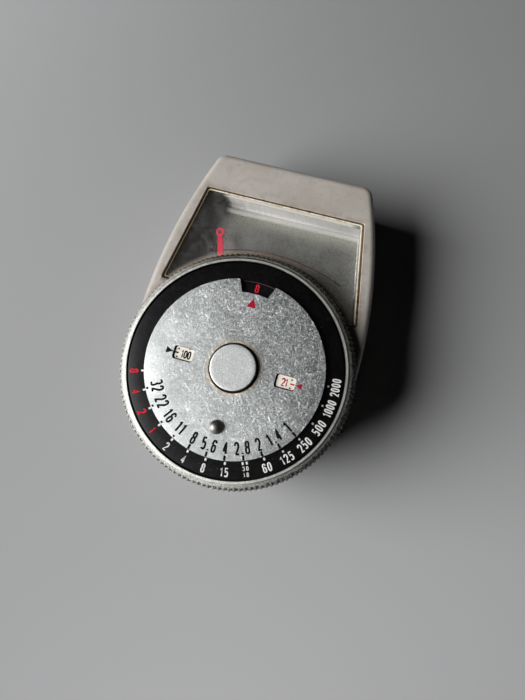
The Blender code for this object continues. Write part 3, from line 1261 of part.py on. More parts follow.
def pointer_rivets():
    """Two small rivets through the tongue and the blade."""
    radius = RIVET_RADIUS * POINTER_RIVET_SHARE - FIT_GAP
    sizes = (radius, RIVET_HEAD_RADIUS * POINTER_RIVET_SHARE, FIT_GAP)
    bottom = BLADE_BOTTOM - FIT_GAP / 2 - FIT_GAP
    top = LEVER_TOP + FIT_GAP / 2 + FIT_GAP
    for i, y in enumerate(pointer_rivet_places(), 1):
        double_headed_rivet(f"pointer_rivet_{i}", 0, y, bottom, top, sizes, "brass", POINTER_AXIS)


def lever_stud_and_clip():
    """The stud that the lever turns on, and the clip that keeps it there."""
    clip_bottom = LEVER_TOP + FIT_GAP
    clip_top = clip_bottom + CLIP_THICKNESS
    groove_radius = LEVER_STUD_RADIUS - CLIP_GROOVE_DEPTH
    stud_top = clip_top + FIT_GAP
    foot_top = CHASSIS_BOTTOM - FIT_GAP
    foot_bottom = foot_top - POST_FOOT_THICKNESS
    profile = [
        (0, stud_top), (LEVER_STUD_RADIUS, stud_top), (LEVER_STUD_RADIUS, clip_top + FIT_GAP / 2),
        (groove_radius, clip_top + FIT_GAP / 2), (groove_radius, clip_bottom - FIT_GAP / 2),
        (LEVER_STUD_RADIUS, clip_bottom - FIT_GAP / 2), (LEVER_STUD_RADIUS, foot_top),
        (LEVER_STUD_FOOT_RADIUS, foot_top), (LEVER_STUD_FOOT_RADIUS, foot_bottom), (0, foot_bottom),
    ]
    stud = turned("lever_stud", profile, "steel")
    stud.location = (0, LEVER_PIVOT_Y, 0)
    inner = groove_radius + FIT_GAP
    half = CLIP_OPENING_ANGLE / 2
    outline = arc(0, 0, inner + CLIP_WIDTH, half, 360 - half, FINE_STEPS)
    outline += arc(0, 0, inner, 360 - half, half, FINE_STEPS)
    clip = piece("lever_clip", flat("lever_clip", [outline], clip_bottom, clip_top), "steel")
    clip.location = (0, LEVER_PIVOT_Y, 0)


def movement_frame():
    """Yoke ring, magnet core, the bracket over the core and the bridge below the yoke."""
    place = (0, NEEDLE_PIVOT_Y, 0)
    profile = ring_profile(YOKE_BORE, YOKE_RADIUS, YOKE_BOTTOM, YOKE_TOP)
    yoke = turned("yoke_ring", profile, "iron", closed=True)
    yoke.location = place
    core = piece("magnet_core", cylinder(CORE_RADIUS, CORE_BOTTOM, YOKE_TOP, steps=ROUND_STEPS),
                 "magnet")
    core.location = place
    half = BRACKET_HALF_WIDTH
    bracket = piece("core_bracket", box(
        (-half, -YOKE_RADIUS, BRACKET_BOTTOM), (half, YOKE_RADIUS, BRACKET_TOP)), "brass")
    bracket.location = place
    bridge_bar = piece("lower_bridge", box(
        (-half, -YOKE_RADIUS, BRIDGE_BOTTOM), (half, YOKE_RADIUS, BRIDGE_TOP)), "brass")
    bridge_bar.location = place
    cut(bridge_bar, cylinder(JEWEL_SCREW_RADIUS, BRIDGE_BOTTOM - OVERRUN, BRIDGE_TOP + OVERRUN))
    for side in (-1, 1):
        inner_y, outer_y = sorted((side * YOKE_BORE, side * YOKE_RADIUS))
        pad_foot = (BRIDGE_BOTTOM + BRIDGE_TOP) / 2
        join(bridge_bar, box((-half, inner_y, pad_foot), (half, outer_y, BRIDGE_PAD_TOP)))
    hole = MOVEMENT_SCREW_RADIUS + FIT_GAP
    for side in (-1, 1):
        y = side * MOVEMENT_SCREW_CIRCLE
        for target in (yoke, bracket, bridge_bar):
            cut(target, cylinder(hole, BRIDGE_TOP, BRACKET_TOP + OVERRUN, 0, y))
        cut(yoke, cylinder(hole, (YOKE_BOTTOM + YOKE_TOP) / 2, YOKE_TOP + OVERRUN, y, 0))


def movement_screws():
    """Two screws through bracket, yoke and bridge, and two that hang the yoke from the chassis."""
    length = BRACKET_TOP + MOVEMENT_HEAD_HEIGHT + FIT_GAP - BRIDGE_TOP - FIT_GAP
    sizes = (MOVEMENT_HEAD_RADIUS, MOVEMENT_HEAD_HEIGHT, MOVEMENT_SCREW_RADIUS, length)
    head_z = BRACKET_TOP + FIT_GAP + MOVEMENT_HEAD_HEIGHT
    for i, side in enumerate((-1, 1), 1):
        y = NEEDLE_PIVOT_Y + side * MOVEMENT_SCREW_CIRCLE
        slotted_screw(f"bracket_screw_{i}", 0, y, head_z, True, sizes)
    head_top = CHASSIS_TOP - FIT_GAP
    shoulder_top = CHASSIS_BOTTOM - FIT_GAP
    shoulder_bottom = YOKE_TOP + FIT_GAP
    end = (YOKE_BOTTOM + YOKE_TOP) / 2 + FIT_GAP
    for i, side in enumerate((-1, 1), 1):
        profile = [
            (0, head_top), (MOVEMENT_HEAD_RADIUS, head_top),
            (MOVEMENT_HEAD_RADIUS, head_top - MOVEMENT_HEAD_HEIGHT),
            (MOVEMENT_SCREW_RADIUS, head_top - MOVEMENT_HEAD_HEIGHT),
            (MOVEMENT_SCREW_RADIUS, shoulder_top), (MOVEMENT_SHOULDER_RADIUS, shoulder_top),
            (MOVEMENT_SHOULDER_RADIUS, shoulder_bottom), (MOVEMENT_SCREW_RADIUS, shoulder_bottom),
            (MOVEMENT_SCREW_RADIUS, end), (0, end),
        ]
        made = turned(f"movement_screw_{i}", profile, "steel", steps=SMALL_STEPS)
        made.location = (side * MOVEMENT_SCREW_CIRCLE, NEEDLE_PIVOT_Y, 0)
        reach = MOVEMENT_HEAD_RADIUS + OVERRUN
        cut(made, box((-reach, -SLOT_WIDTH / 2, head_top - MOVEMENT_HEAD_HEIGHT / 2),
                      (reach, SLOT_WIDTH / 2, head_top + OVERRUN)))


def jewel_screw(name, face_z, cup_z, radius):
    """A bearing screw: a slot in the face that a driver reaches, a cup at the staff's tip."""
    up = 1 if face_z > cup_z else -1
    low, high = sorted((face_z, cup_z))
    made = piece(name, cylinder(radius, low, high), "brass")
    made.location = (0, NEEDLE_PIVOT_Y, 0)
    slot_low, slot_high = sorted((face_z - up * SLOT_DEPTH, face_z + up * OVERRUN))
    cut(made, box((-radius - OVERRUN, -SLOT_WIDTH / 2, slot_low),
                  (radius + OVERRUN, SLOT_WIDTH / 2, slot_high)))
    cup_low, cup_high = sorted((cup_z - up * OVERRUN, cup_z + up * JEWEL_CUP_DEPTH))
    cut(made, cylinder(JEWEL_CUP_RADIUS, cup_low, cup_high))


def jewel_screws():
    """The two bearings of the movement's staff."""
    upper_cup = CHASSIS_BOTTOM - SEAT_GAP
    jewel_screw("upper_jewel_screw", CHASSIS_TOP - FIT_GAP, upper_cup, JEWEL_SCREW_RADIUS)
    lower_face = ZERO_LEVER_BOTTOM + FIT_GAP
    jewel_screw("lower_jewel_screw", lower_face, BRIDGE_TOP, JEWEL_SCREW_RADIUS - FIT_GAP)


def moving_coil():
    """Coil frame with its winding, the two staffs, and the needle with its counterweight."""
    for name, half_width, bottom, top, wall, finish_name in (
        ("coil_winding", COIL_HALF_WIDTH, WINDING_BOTTOM, WINDING_TOP, WINDING_THICKNESS, "copper"),
        ("coil_frame", COIL_HALF_WIDTH - WINDING_THICKNESS - COIL_FRAME_GAP, FRAME_BOTTOM,
         FRAME_TOP, COIL_FRAME_THICKNESS, "satin_aluminium"),
    ):
        depth = COIL_HALF_DEPTH
        loop = piece(name, box((-half_width, -depth, bottom), (half_width, depth, top)),
                     finish_name, NEEDLE_AXIS)
        cut(loop, box((-half_width + wall, -depth - OVERRUN, bottom + wall),
                      (half_width - wall, depth + OVERRUN, top - wall)))
    upper_tip = CHASSIS_BOTTOM - SEAT_GAP + JEWEL_CUP_DEPTH / 3
    upper_foot = WINDING_TOP + COIL_FRAME_GAP
    turned("upper_staff", [
        (0, upper_tip), (STAFF_RADIUS, upper_tip - 2 * STAFF_RADIUS),
        (STAFF_RADIUS, upper_foot + STAFF_FLANGE_THICKNESS),
        (STAFF_FLANGE_RADIUS, upper_foot + STAFF_FLANGE_THICKNESS),
        (STAFF_FLANGE_RADIUS, upper_foot), (0, upper_foot),
    ], "steel", NEEDLE_AXIS, steps=SMALL_STEPS)
    lower_tip = BRIDGE_TOP - JEWEL_CUP_DEPTH / 3
    lower_head = WINDING_BOTTOM - COIL_FRAME_GAP
    turned("lower_staff", [
        (0, lower_head), (STAFF_FLANGE_RADIUS, lower_head),
        (STAFF_FLANGE_RADIUS, lower_head - STAFF_FLANGE_THICKNESS),
        (STAFF_RADIUS, lower_head - STAFF_FLANGE_THICKNESS),
        (STAFF_RADIUS, lower_tip + STAFF_RADIUS), (0, lower_tip),
    ], "steel", NEEDLE_AXIS, steps=SMALL_STEPS)
    needle()


def needle():
    """The thin needle: blade, hub, tail and the round weight that balances it."""
    tip = [(NEEDLE_TIP_HALF_WIDTH, NEEDLE_LENGTH), (-NEEDLE_TIP_HALF_WIDTH, NEEDLE_LENGTH)]
    spread = degrees(atan2(NEEDLE_HALF_WIDTH, NEEDLE_HUB_RADIUS))
    steps = FINE_STEPS // 3
    left = arc(0, 0, NEEDLE_HUB_RADIUS, 90 + spread, 270 - spread, steps)
    right = arc(0, 0, NEEDLE_HUB_RADIUS, 270 + spread, 450 - spread, steps)
    weight_spread = degrees(atan2(NEEDLE_HALF_WIDTH, NEEDLE_WEIGHT_RADIUS))
    weight = arc(0, -NEEDLE_TAIL_LENGTH, NEEDLE_WEIGHT_RADIUS, 90 + weight_spread,
                 450 - weight_spread, SMALL_STEPS)
    outline = tip + left + weight + right
    hole = circle(STAFF_RADIUS + FIT_GAP, steps=SMALL_STEPS)
    piece("needle", flat("needle", [outline, hole], NEEDLE_BOTTOM, NEEDLE_TOP),
          "needle_lacquer", NEEDLE_AXIS)


def hairspring(name, z, axis=None):
    """A flat spiral spring whose outer end lies at its pin, on the +X side."""
    count = HAIRSPRING_TURNS * HAIRSPRING_TURN_STEPS
    points = []
    for i in range(count + 1):
        radius = HAIRSPRING_OUTER_RADIUS
        radius -= (HAIRSPRING_OUTER_RADIUS - HAIRSPRING_INNER_RADIUS) * i / count
        angle = 2 * pi * i / HAIRSPRING_TURN_STEPS
        points.append((radius * cos(angle), radius * sin(angle), z))
    spring = piece(name, tube(name, points, HAIRSPRING_WIRE_RADIUS, 0), "spring_bronze", axis)
    if axis is None:
        spring.location = (0, NEEDLE_PIVOT_Y, 0)


def hairsprings():
    """The upper spring with its fixed pin, and the lower one that the zero lever carries."""
    upper_z = (WINDING_TOP + NEEDLE_BOTTOM) / 2
    hairspring("upper_hairspring", upper_z)
    pin = piece("hairspring_pin", cylinder(
        SPRING_PIN_RADIUS, upper_z - HAIRSPRING_WIRE_RADIUS, CHASSIS_TOP, steps=SMALL_STEPS,
    ), "brass")
    pin.location = (SPRING_PIN_X, NEEDLE_PIVOT_Y, 0)
    lower_z = (BRIDGE_TOP + WINDING_BOTTOM) / 2
    hairspring("lower_hairspring", lower_z, ZERO_LEVER_AXIS)


def zero_lever():
    """The lever round the lower bearing: a fork for the screw's pin, a finger for the spring."""
    pin_x = ZERO_SCREW_X - ZERO_PIN_OFFSET
    end_x = pin_x - ZERO_PIN_OFFSET - ZERO_FORK_REACH
    slot_half = ZERO_PIN_RADIUS + ZERO_PIN_CLEARANCE
    slot_x = ZERO_SCREW_X + ZERO_PIN_OFFSET + slot_half
    fork = ZERO_FORK_HALF_WIDTH
    finger_half = 2 * SPRING_PIN_RADIUS
    finger_x = SPRING_PIN_X + finger_half
    spread = degrees(atan2(fork, ZERO_HUB_RADIUS))
    finger_spread = degrees(atan2(finger_half, ZERO_HUB_RADIUS))
    steps = SMALL_STEPS
    outline = [
        (end_x, -fork),
        *arc(0, 0, ZERO_HUB_RADIUS, 180 + spread, 360 - finger_spread, steps),
        (finger_x, -finger_half), (finger_x, finger_half),
        *arc(0, 0, ZERO_HUB_RADIUS, finger_spread, 180 - spread, steps),
        (end_x, fork), (end_x, slot_half), (slot_x, slot_half), (slot_x, -slot_half),
        (end_x, -slot_half),
    ]
    hole = circle(JEWEL_SCREW_RADIUS + FIT_GAP)
    mesh = flat("zero_lever", [outline, hole], ZERO_LEVER_BOTTOM, ZERO_LEVER_TOP)
    lever = piece("zero_lever", mesh, "brass", ZERO_LEVER_AXIS)
    pin_top = (BRIDGE_TOP + WINDING_BOTTOM) / 2 + HAIRSPRING_WIRE_RADIUS
    pin_foot = (ZERO_LEVER_BOTTOM + ZERO_LEVER_TOP) / 2
    join(lever, cylinder(SPRING_PIN_RADIUS, pin_foot, pin_top, SPRING_PIN_X, 0, SMALL_STEPS))


def zero_screw():
    """The slotted screw in the back, with the eccentric pin that moves the fork."""
    head_top = ZERO_HEAD_SINK + ZERO_HEAD_HEIGHT
    shank_top = COVER_FLOOR + FIT_GAP
    profile = [
        (0, shank_top), (ZERO_SCREW_SHANK_RADIUS, shank_top), (ZERO_SCREW_SHANK_RADIUS, head_top),
        (ZERO_SCREW_HEAD_RADIUS, head_top), (ZERO_SCREW_HEAD_RADIUS, ZERO_HEAD_SINK),
        (0, ZERO_HEAD_SINK),
    ]
    screw = turned("zero_screw", profile, "brass", ZERO_SCREW_AXIS, steps=FINE_STEPS)
    reach = ZERO_SCREW_HEAD_RADIUS + OVERRUN
    cut(screw, box((-reach, -SLOT_WIDTH, -OVERRUN),
                   (reach, SLOT_WIDTH, ZERO_HEAD_SINK + SLOT_DEPTH)))
    join(screw, cylinder(ZERO_PIN_RADIUS, COVER_FLOOR, ZERO_LEVER_TOP, -ZERO_PIN_OFFSET, 0,
                         SMALL_STEPS))


clear_scene()
PART = collection("light_meter")
CUTTERS = collection("cutters")
RING_AXIS = axis_empty("time_ring_axis", 0, 0)
DISC_AXIS = axis_empty("f_stop_axis", 0, 0)
POINTER_AXIS = axis_empty("pointer_axis", 0, LEVER_PIVOT_Y, POINTER_REST_ANGLE)
NEEDLE_AXIS = axis_empty("needle_axis", 0, NEEDLE_PIVOT_Y, NEEDLE_REST_ANGLE)
ZERO_LEVER_AXIS = axis_empty("zero_lever_axis", 0, NEEDLE_PIVOT_Y)
ZERO_SCREW_AXIS = axis_empty("zero_screw_axis", ZERO_SCREW_X, NEEDLE_PIVOT_Y)

case_body()
back_cover()
case_screws()
window_pane()
scale_plate()
honeycomb_lens()
cell_pack()
lead_wires()
chassis_plate()
chassis_screws()
center_post()
dial_ring()
dial_hub()
hub_rivets()
spring_washer()
scale_discs()
f_stop_disc()
setting_stud()
center_cap()
drive_pinion()
sector_lever()
red_pointer()
pointer_rivets()
lever_stud_and_clip()
movement_frame()
movement_screws()
jewel_screws()
moving_coil()
hairsprings()
zero_lever()
zero_screw()
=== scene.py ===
import json
from math import atan2, ceil, cos, degrees, pi, radians, sin, sqrt, tan

import bmesh
import bpy
from mathutils import Matrix, Vector


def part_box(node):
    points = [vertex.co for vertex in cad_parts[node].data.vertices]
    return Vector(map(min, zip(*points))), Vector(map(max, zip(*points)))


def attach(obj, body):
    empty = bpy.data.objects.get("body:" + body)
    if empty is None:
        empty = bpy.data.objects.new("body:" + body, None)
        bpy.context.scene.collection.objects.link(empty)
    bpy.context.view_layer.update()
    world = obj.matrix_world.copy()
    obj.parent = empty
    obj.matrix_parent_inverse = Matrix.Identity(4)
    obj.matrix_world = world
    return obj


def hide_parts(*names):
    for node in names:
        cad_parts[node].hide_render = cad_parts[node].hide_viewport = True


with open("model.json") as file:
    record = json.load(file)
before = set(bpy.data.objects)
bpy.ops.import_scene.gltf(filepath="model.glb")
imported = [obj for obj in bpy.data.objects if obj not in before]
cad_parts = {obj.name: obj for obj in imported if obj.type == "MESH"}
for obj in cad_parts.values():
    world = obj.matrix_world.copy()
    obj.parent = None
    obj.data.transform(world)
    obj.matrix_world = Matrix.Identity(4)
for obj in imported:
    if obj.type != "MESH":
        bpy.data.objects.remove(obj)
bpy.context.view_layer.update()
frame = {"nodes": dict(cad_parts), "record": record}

# The scene works in metres, and MM turns a size in millimetres into them
MM = 0.001

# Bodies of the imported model
CASE = "meter_body"
RING = "time_ring"
DISC = "aperture_disc"
POINTER = "follow_pointer"
ZERO = "zero_adjuster"


def top_of(node):
    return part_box(node)[1][2]


def bottom_of(node):
    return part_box(node)[0][2]


def reach_of(node):
    """How far a node reaches to the right, which is its radius where it is round."""
    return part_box(node)[1][0]


def mm(length):
    return length / MM


# Levels and radii read from the frame
CASE_TOP = top_of("case_body")
FACE_Z = top_of("time_scale_plate")
PLATE_FOOT = bottom_of("time_scale_plate")
FILM_Z = top_of("film_speed_disc")
DISC_TOP = top_of("f_stop_disc")
DISC_FOOT = bottom_of("f_stop_disc")
LIP_TOP = top_of("dial_ring")
RING_FOOT = bottom_of("dial_ring")
CAP_TOP = top_of("center_cap")
PANE_TOP = top_of("window_pane")
RING_RADIUS = reach_of("dial_ring")
PLATE_RADIUS = reach_of("time_scale_plate")
DISC_RADIUS = reach_of("f_stop_disc")
FILM_RADIUS = reach_of("film_speed_disc")
CAP_RADIUS = reach_of("center_cap")
CASE_HALF_WIDTH = reach_of("case_body")
CASE_END_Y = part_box("case_body")[1][1]

# Case plan, as the CAD draws it, and the parting line over the back cover
CASE_ROUND_Y = 1.0 * MM
CASE_TAPER_Y = 6.0 * MM
CASE_SIDE_RADIUS = 98.0 * MM
CASE_CORNER_RADIUS = 2.3 * MM
CASE_INNER_CORNER_RADIUS = 0.4 * MM
CASE_WALL = 1.6 * MM
CASE_EDGE_RADIUS = 1.2 * MM
CASE_CHAMFER = 0.12 * MM
CASE_TOP_STEP = 0.4 * MM
COVER_TOP = 2.6 * MM
SEAT_GAP = 0.3 * MM
CASE_FOOT = COVER_TOP + SEAT_GAP
OVERRUN = 1.0 * MM

# Window
WINDOW_FOOT = (19.8 * MM, 13.8 * MM)
WINDOW_END = (16.0 * MM, 33.9 * MM)
WINDOW_CORNERS = [(-WINDOW_FOOT[0], WINDOW_FOOT[1]), WINDOW_FOOT, WINDOW_END,
                  (-WINDOW_END[0], WINDOW_END[1])]
WINDOW_CORNER_RADIUS = 0.4 * MM
LEDGE_WIDTH = 0.7 * MM
LEDGE_TOP = CASE_TOP - 1.1 * MM

# Insets of the strips round the pane, at the foot, right, far and left edges
GROOVE_OUTER = (-0.06 * MM, -0.04 * MM, -0.04 * MM, -0.06 * MM)
GROOVE_INNER = (0.30 * MM, 0.42 * MM, 0.30 * MM, 0.42 * MM)
BEVEL_INNER = (0.44 * MM, 0.66 * MM, 0.54 * MM, 0.52 * MM)
GROOVE_CROWN = 0.06 * MM
BEVEL_CROWN = 0.05 * MM
STRIP_SINK = 0.12 * MM

# Pan under the window
PAN_THICKNESS = 0.5 * MM
PAN_FLOOR = bottom_of("scale_plate") + PAN_THICKNESS
PAN_WALL_INSET = LEDGE_WIDTH - 0.2 * MM
PAN_FOOT_REACH = 0.8 * MM
PAN_FAR_COVE = 1.8 * MM
PAN_SIDE_COVE = 0.2 * MM
COVE_STEPS = 12
WALL_FOOT = PAN_FLOOR + 0.35 * PAN_FAR_COVE
PAN_ARC_RADIUS = 37.5 * MM
LEVER_PIVOT_Y = -12.0 * MM

# Knurled ring. Its side away from the lamp lies at RIM_DARK_SIDE degrees
KNURL_TEETH = 140
KNURL_DEPTH = 0.28 * MM
TOOTH_STEPS = 6
RING_WALL_HEIGHT = 1.2 * MM
RING_THICKNESS = 1.5 * MM
RING_FOOT_CHAMFER = 0.40 * MM
KNURL_CHAMFER = 0.12 * MM
KNURL_FOOT = 0.35 * MM
BEVEL_STEPS = 7
BEVEL_BULGE = 0.05 * MM
WEB_THICKNESS = 1.0 * MM
WEB_BORE = 5.0 * MM
LIP_OUTER = 20.92 * MM
LIP_INNER = 20.27 * MM
LIP_ROUND = 0.08 * MM
RIM_DARK_SIDE = 38.0

# The time scale lies close under the lip, and the stops are STOP_ANGLE degrees apart
TIME_Z = LIP_TOP - 0.03 * MM
PLATE_BORE = 13.8 * MM
STOP_ANGLE = 12.0

# The f-stop disc is hollow underneath, and the film disc's raised ring lies close under its skin
FILM_BORE = 0.9 * MM
FILM_STEP_INNER = 5.9 * MM
FILM_PLAY = 0.1 * MM
SKIN = 0.30 * MM
SPEED_Z = DISC_TOP - SKIN - 0.04 * MM
SPEED_WINDOW_X = 9.75 * MM
SPEED_WINDOW_HALF = (1.9 * MM, 1.25 * MM)
SPEED_WINDOW_CORNER = 0.4 * MM
# Thin black sheets under the speed windows paint their shadow: how far each reaches past its window, and
# how far it shows inside at the left, near, right and far edges.
SHADOW_OVERLAP = 0.3 * MM
SHADOW_LEFT = 0.32 * MM
SHADOW_NEAR = 0.22 * MM
SHADOW_RIGHT = 0.03 * MM
SHADOW_FAR = 0.05 * MM

# The disc falls away towards its edge, and its notch is given by half angles in degrees
DOME_START = 11.5 * MM
DOME_DROP = 0.11 * MM
DOME_STEPS = 8
NOTCH_DEPTH = 2.5 * MM
NOTCH_OUTER = 12.7
NOTCH_INNER = 10.0
DISC_BORE = 2.3 * MM
DISC_EDGE = 0.06 * MM

# Cap and stud. The cap lies in a recess of the disc, and the stud's stem ends in the disc's skin
CAP_PLAY = 0.36 * MM
CAP_RECESS = 0.4 * MM
CAP_SINK = 0.1 * MM
CAP_ROUND = 0.22 * MM
CAP_DISH = 0.03 * MM
CAP_PIN_RADIUS = 0.6 * MM
CAP_PIN_FOOT = 17.6 * MM
CAP_NECK_RADIUS = 2.0 * MM
STUD_RADIUS = 1.3 * MM
STUD_STEM_RADIUS = 0.6 * MM
STUD_LIFT = 0.15 * MM
STUD_EDGE = 0.05 * MM
STUD_BAND = 0.04 * MM

# Honeycomb lens
LENS_MARGIN = 0.7 * MM
LENS_PLAY = 0.3 * MM
LENS_FLANGE = 1.0 * MM
LENS_SINK = 0.5 * MM
LENSLET_PITCH = 2.1 * MM
LENSLET_HEIGHT = 0.48 * MM
LENSLET_SIDES = 12

# A spun solid's axis is left open by a hair
CENTRE = 0.001 * MM

# Printed ink stands a hair above its surface
INK_RISE = 0.022 * MM
INK_SINK = 0.004 * MM


# Mesh helpers

def finished(shape, name, sharp=32):
    """A mesh from a bmesh, smooth except where faces meet at more than sharp degrees."""
    bmesh.ops.recalc_face_normals(shape, faces=shape.faces)
    mesh = bpy.data.meshes.new(name)
    shape.to_mesh(mesh)
    shape.free()
    smooth(mesh, sharp)
    return mesh


def smooth(mesh, sharp=32):
    mesh.shade_smooth()
    mesh.set_sharp_from_angle(angle=radians(sharp))


def link(name, data):
    """A new object in the scene."""
    made = bpy.data.objects.new(name, data)
    bpy.context.scene.collection.objects.link(made)
    return made


def show(name, mesh, material, body, slot, *nodes):
    """A piece of the scene that rides on a body and stands for the named CAD nodes."""
    mesh.materials.clear()
    mesh.materials.append(material)
    piece = link(name, mesh)
    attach(piece, body)
    if nodes:
        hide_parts(*nodes)
    return piece


def soften(piece, width):
    """Round a piece's sharp edges."""
    bevel = piece.modifiers.new("Soft edges", "BEVEL")
    bevel.width = width
    bevel.segments = 2
    bevel.limit_method = "ANGLE"
    bevel.angle_limit = radians(40)
    bevel.harden_normals = True


def weigh_normals(piece):
    """Keep flat faces flat beside rounded edges."""
    piece.modifiers.new("Normals", "WEIGHTED_NORMAL").keep_sharp = True


def quads(shape, first, second):
    """Faces between two loops of equally many points."""
    for i, corner in enumerate(first):
        j = (i + 1) % len(first)
        shape.faces.new([corner, first[j], second[j], second[i]])


def loft(rows, hoop=False):
    """A closed bmesh through loops of equally many points, capped unless it is a hoop."""
    shape = bmesh.new()
    grid = [[shape.verts.new(point) for point in row] for row in rows]
    for first, second in zip(grid, grid[1:]):
        quads(shape, first, second)
    if hoop:
        quads(shape, grid[-1], grid[0])
    else:
        shape.faces.new(grid[0])
        shape.faces.new(grid[-1])
    return shape


def level(outline, z):
    return [(x, y, z) for x, y in outline]


def prism(outline, bottom, top, name):
    return finished(loft([level(outline, bottom), level(outline, top)]), name)


def spun(profile, steps, centre=(0.0, 0.0)):
    """Rows of points that turn a closed profile of (radius, height) about a vertical axis."""
    angles = [2 * pi * i / steps for i in range(steps)]
    return [[(centre[0] + radius * cos(a), centre[1] + radius * sin(a), z) for a in angles]
            for radius, z in profile]


def rounded_profile(points, radius, steps=3):
    """A profile of (radius, height) with its corners rounded, ends kept."""
    made = [points[0]]
    for before, corner, after in zip(points, points[1:], points[2:]):
        c = Vector(corner)
        back, ahead = Vector(before) - c, Vector(after) - c
        reach = min(radius, back.length / 2, ahead.length / 2)
        a, b = c + back.normalized() * reach, c + ahead.normalized() * reach
        for k in range(steps + 1):
            t = k / steps
            made.append(tuple(a * (1 - t) ** 2 + c * 2 * t * (1 - t) + b * t**2))
    return made + [points[-1]]


def quarter(steps):
    """Angles from 0 to 90 degrees."""
    return [radians(90) * k / steps for k in range(steps + 1)]


def evaluated(thing):
    """A new mesh of an object with its modifiers or its curve worked out."""
    graph = bpy.context.evaluated_depsgraph_get()
    return bpy.data.meshes.new_from_object(thing.evaluated_get(graph))


def cut(piece, cutter_mesh):
    """Cut a mesh out of a piece and keep the result."""
    helper = link("helper", cutter_mesh)
    modifier = piece.modifiers.new("Cut", "BOOLEAN")
    modifier.solver = "EXACT"
    modifier.object = helper
    result = evaluated(piece)
    piece.modifiers.remove(modifier)
    bpy.data.objects.remove(helper, do_unlink=True)
    piece.data = result


def block(low, high):
    shape = bmesh.new()
    size = [b - a for a, b in zip(low, high)]
    middle = [(a + b) / 2 for a, b in zip(low, high)]
    place = Matrix.Translation(middle) @ Matrix.Diagonal((*size, 1))
    bmesh.ops.create_cube(shape, size=1, matrix=place)
    return finished(shape, "block")


def column(radius, bottom, top, steps=48):
    shape = bmesh.new()
    bmesh.ops.create_cone(
        shape, cap_ends=True, segments=steps, radius1=radius, radius2=radius,
        depth=top - bottom, matrix=Matrix.Translation((0, 0, (bottom + top) / 2)),
    )
    return finished(shape, "column")


def arc(x, y, radius, start, end, steps):
    angles = [radians(start + (end - start) * i / steps) for i in range(steps + 1)]
    return [(x + radius * cos(a), y + radius * sin(a)) for a in angles]


def rounded(corners, radius, steps=6):
    """A convex outline, counter-clockwise, with its corners rounded."""
    loop = []
    count = len(corners)
    for i in range(count):
        corner = Vector(corners[i])
        back = (Vector(corners[i - 1]) - corner).normalized()
        ahead = (Vector(corners[(i + 1) % count]) - corner).normalized()
        half = back.angle(ahead) / 2
        centre = corner + (back + ahead).normalized() * (radius / sin(half))
        first = corner + back * (radius / tan(half)) - centre
        last = corner + ahead * (radius / tan(half)) - centre
        start = atan2(first.y, first.x)
        sweep = (atan2(last.y, last.x) - start + pi) % (2 * pi) - pi
        loop += arc(centre.x, centre.y, radius, degrees(start), degrees(start + sweep), steps)
    return loop


def rectangle(left, near, right, far):
    return [(left, near), (right, near), (right, far), (left, far)]


def inset_loop(corners, distances):
    """A convex outline with each edge moved inwards by its own distance."""
    count = len(corners)
    lines = []
    for i in range(count):
        a, b = Vector(corners[i]), Vector(corners[(i + 1) % count])
        along = (b - a).normalized()
        lines.append((a + Vector((-along.y, along.x)) * distances[i], along))
    moved = []
    for i in range(count):
        (p, u), (q, v) = lines[i - 1], lines[i]
        moved.append(tuple(p + u * ((q - p).cross(v) / u.cross(v))))
    return moved


def case_outline(inset, round_steps=96, side_steps=14, corner_steps=8):
    """The case's plan, moved inwards by inset."""
    side_x = CASE_HALF_WIDTH - CASE_SIDE_RADIUS
    side = CASE_SIDE_RADIUS - inset
    corner = max(CASE_CORNER_RADIUS - inset, CASE_INNER_CORNER_RADIUS)
    corner_y = CASE_END_Y - inset - corner
    corner_x = side_x + sqrt((side - corner) ** 2 - (corner_y - CASE_TAPER_Y) ** 2)
    meet = degrees(atan2(corner_y - CASE_TAPER_Y, corner_x - side_x))
    right = arc(side_x, CASE_TAPER_Y, side, 0, meet, side_steps)
    right += arc(corner_x, corner_y, corner, meet, 90, corner_steps)[1:]
    left = [(-x, y) for x, y in reversed(right)]
    return arc(0, CASE_ROUND_Y, CASE_HALF_WIDTH - inset, 180, 360, round_steps) + right + left


def window_loop(insets):
    """The window's outline with its foot, right, far and left edges moved in by their insets."""
    return rounded(inset_loop(WINDOW_CORNERS, insets), WINDOW_CORNER_RADIUS)


def window_outline(inset):
    return window_loop([inset] * 4)


# Material helpers

def add(tree, kind, output, inputs, **settings):
    """One output of a new node, with the node's settings made and its inputs fed."""
    node = tree.nodes.new(kind)
    for key, value in settings.items():
        setattr(node, key, value)
    for key, value in inputs.items():
        feed(tree, value, node.inputs[key])
    return Value(tree, node.outputs[output])


def feed(tree, value, socket):
    """Give an input its value, typed or worked out by other nodes."""
    if isinstance(value, Value):
        tree.links.new(value.socket, socket)
    else:
        socket.default_value = value


class Value:
    """Something that a material's nodes work out, with the usual arithmetic for numbers."""

    def __init__(self, tree, socket):
        self.tree = tree
        self.socket = socket

    def maths(self, operation, *terms):
        return add(self.tree, "ShaderNodeMath", 0, dict(enumerate(terms)), operation=operation)

    def __add__(self, other):
        return self.maths("ADD", self, other)

    def __sub__(self, other):
        return self.maths("SUBTRACT", self, other)

    def __rsub__(self, other):
        return self.maths("SUBTRACT", other, self)

    def __mul__(self, other):
        return self.maths("MULTIPLY", self, other)

    def __abs__(self):
        return self.maths("ABSOLUTE", self)

    def cosine(self):
        return self.maths("COSINE", self)

    def or_more(self, other):
        """This or the other, whichever is larger."""
        return self.maths("MAXIMUM", self, other)

    def towards(self, other, share):
        """A number between this one and another."""
        return add(self.tree, "ShaderNodeMix", 0, {0: share, 2: self, 3: other}, data_type="FLOAT")

    def map(self, low, high, to_low=0.0, to_high=1.0, kind="LINEAR"):
        """This number carried from one span to another, and held at the ends."""
        return add(self.tree, "ShaderNodeMapRange", "Result", {
            "Value": self, "From Min": low, "From Max": high, "To Min": to_low, "To Max": to_high,
        }, interpolation_type=kind)


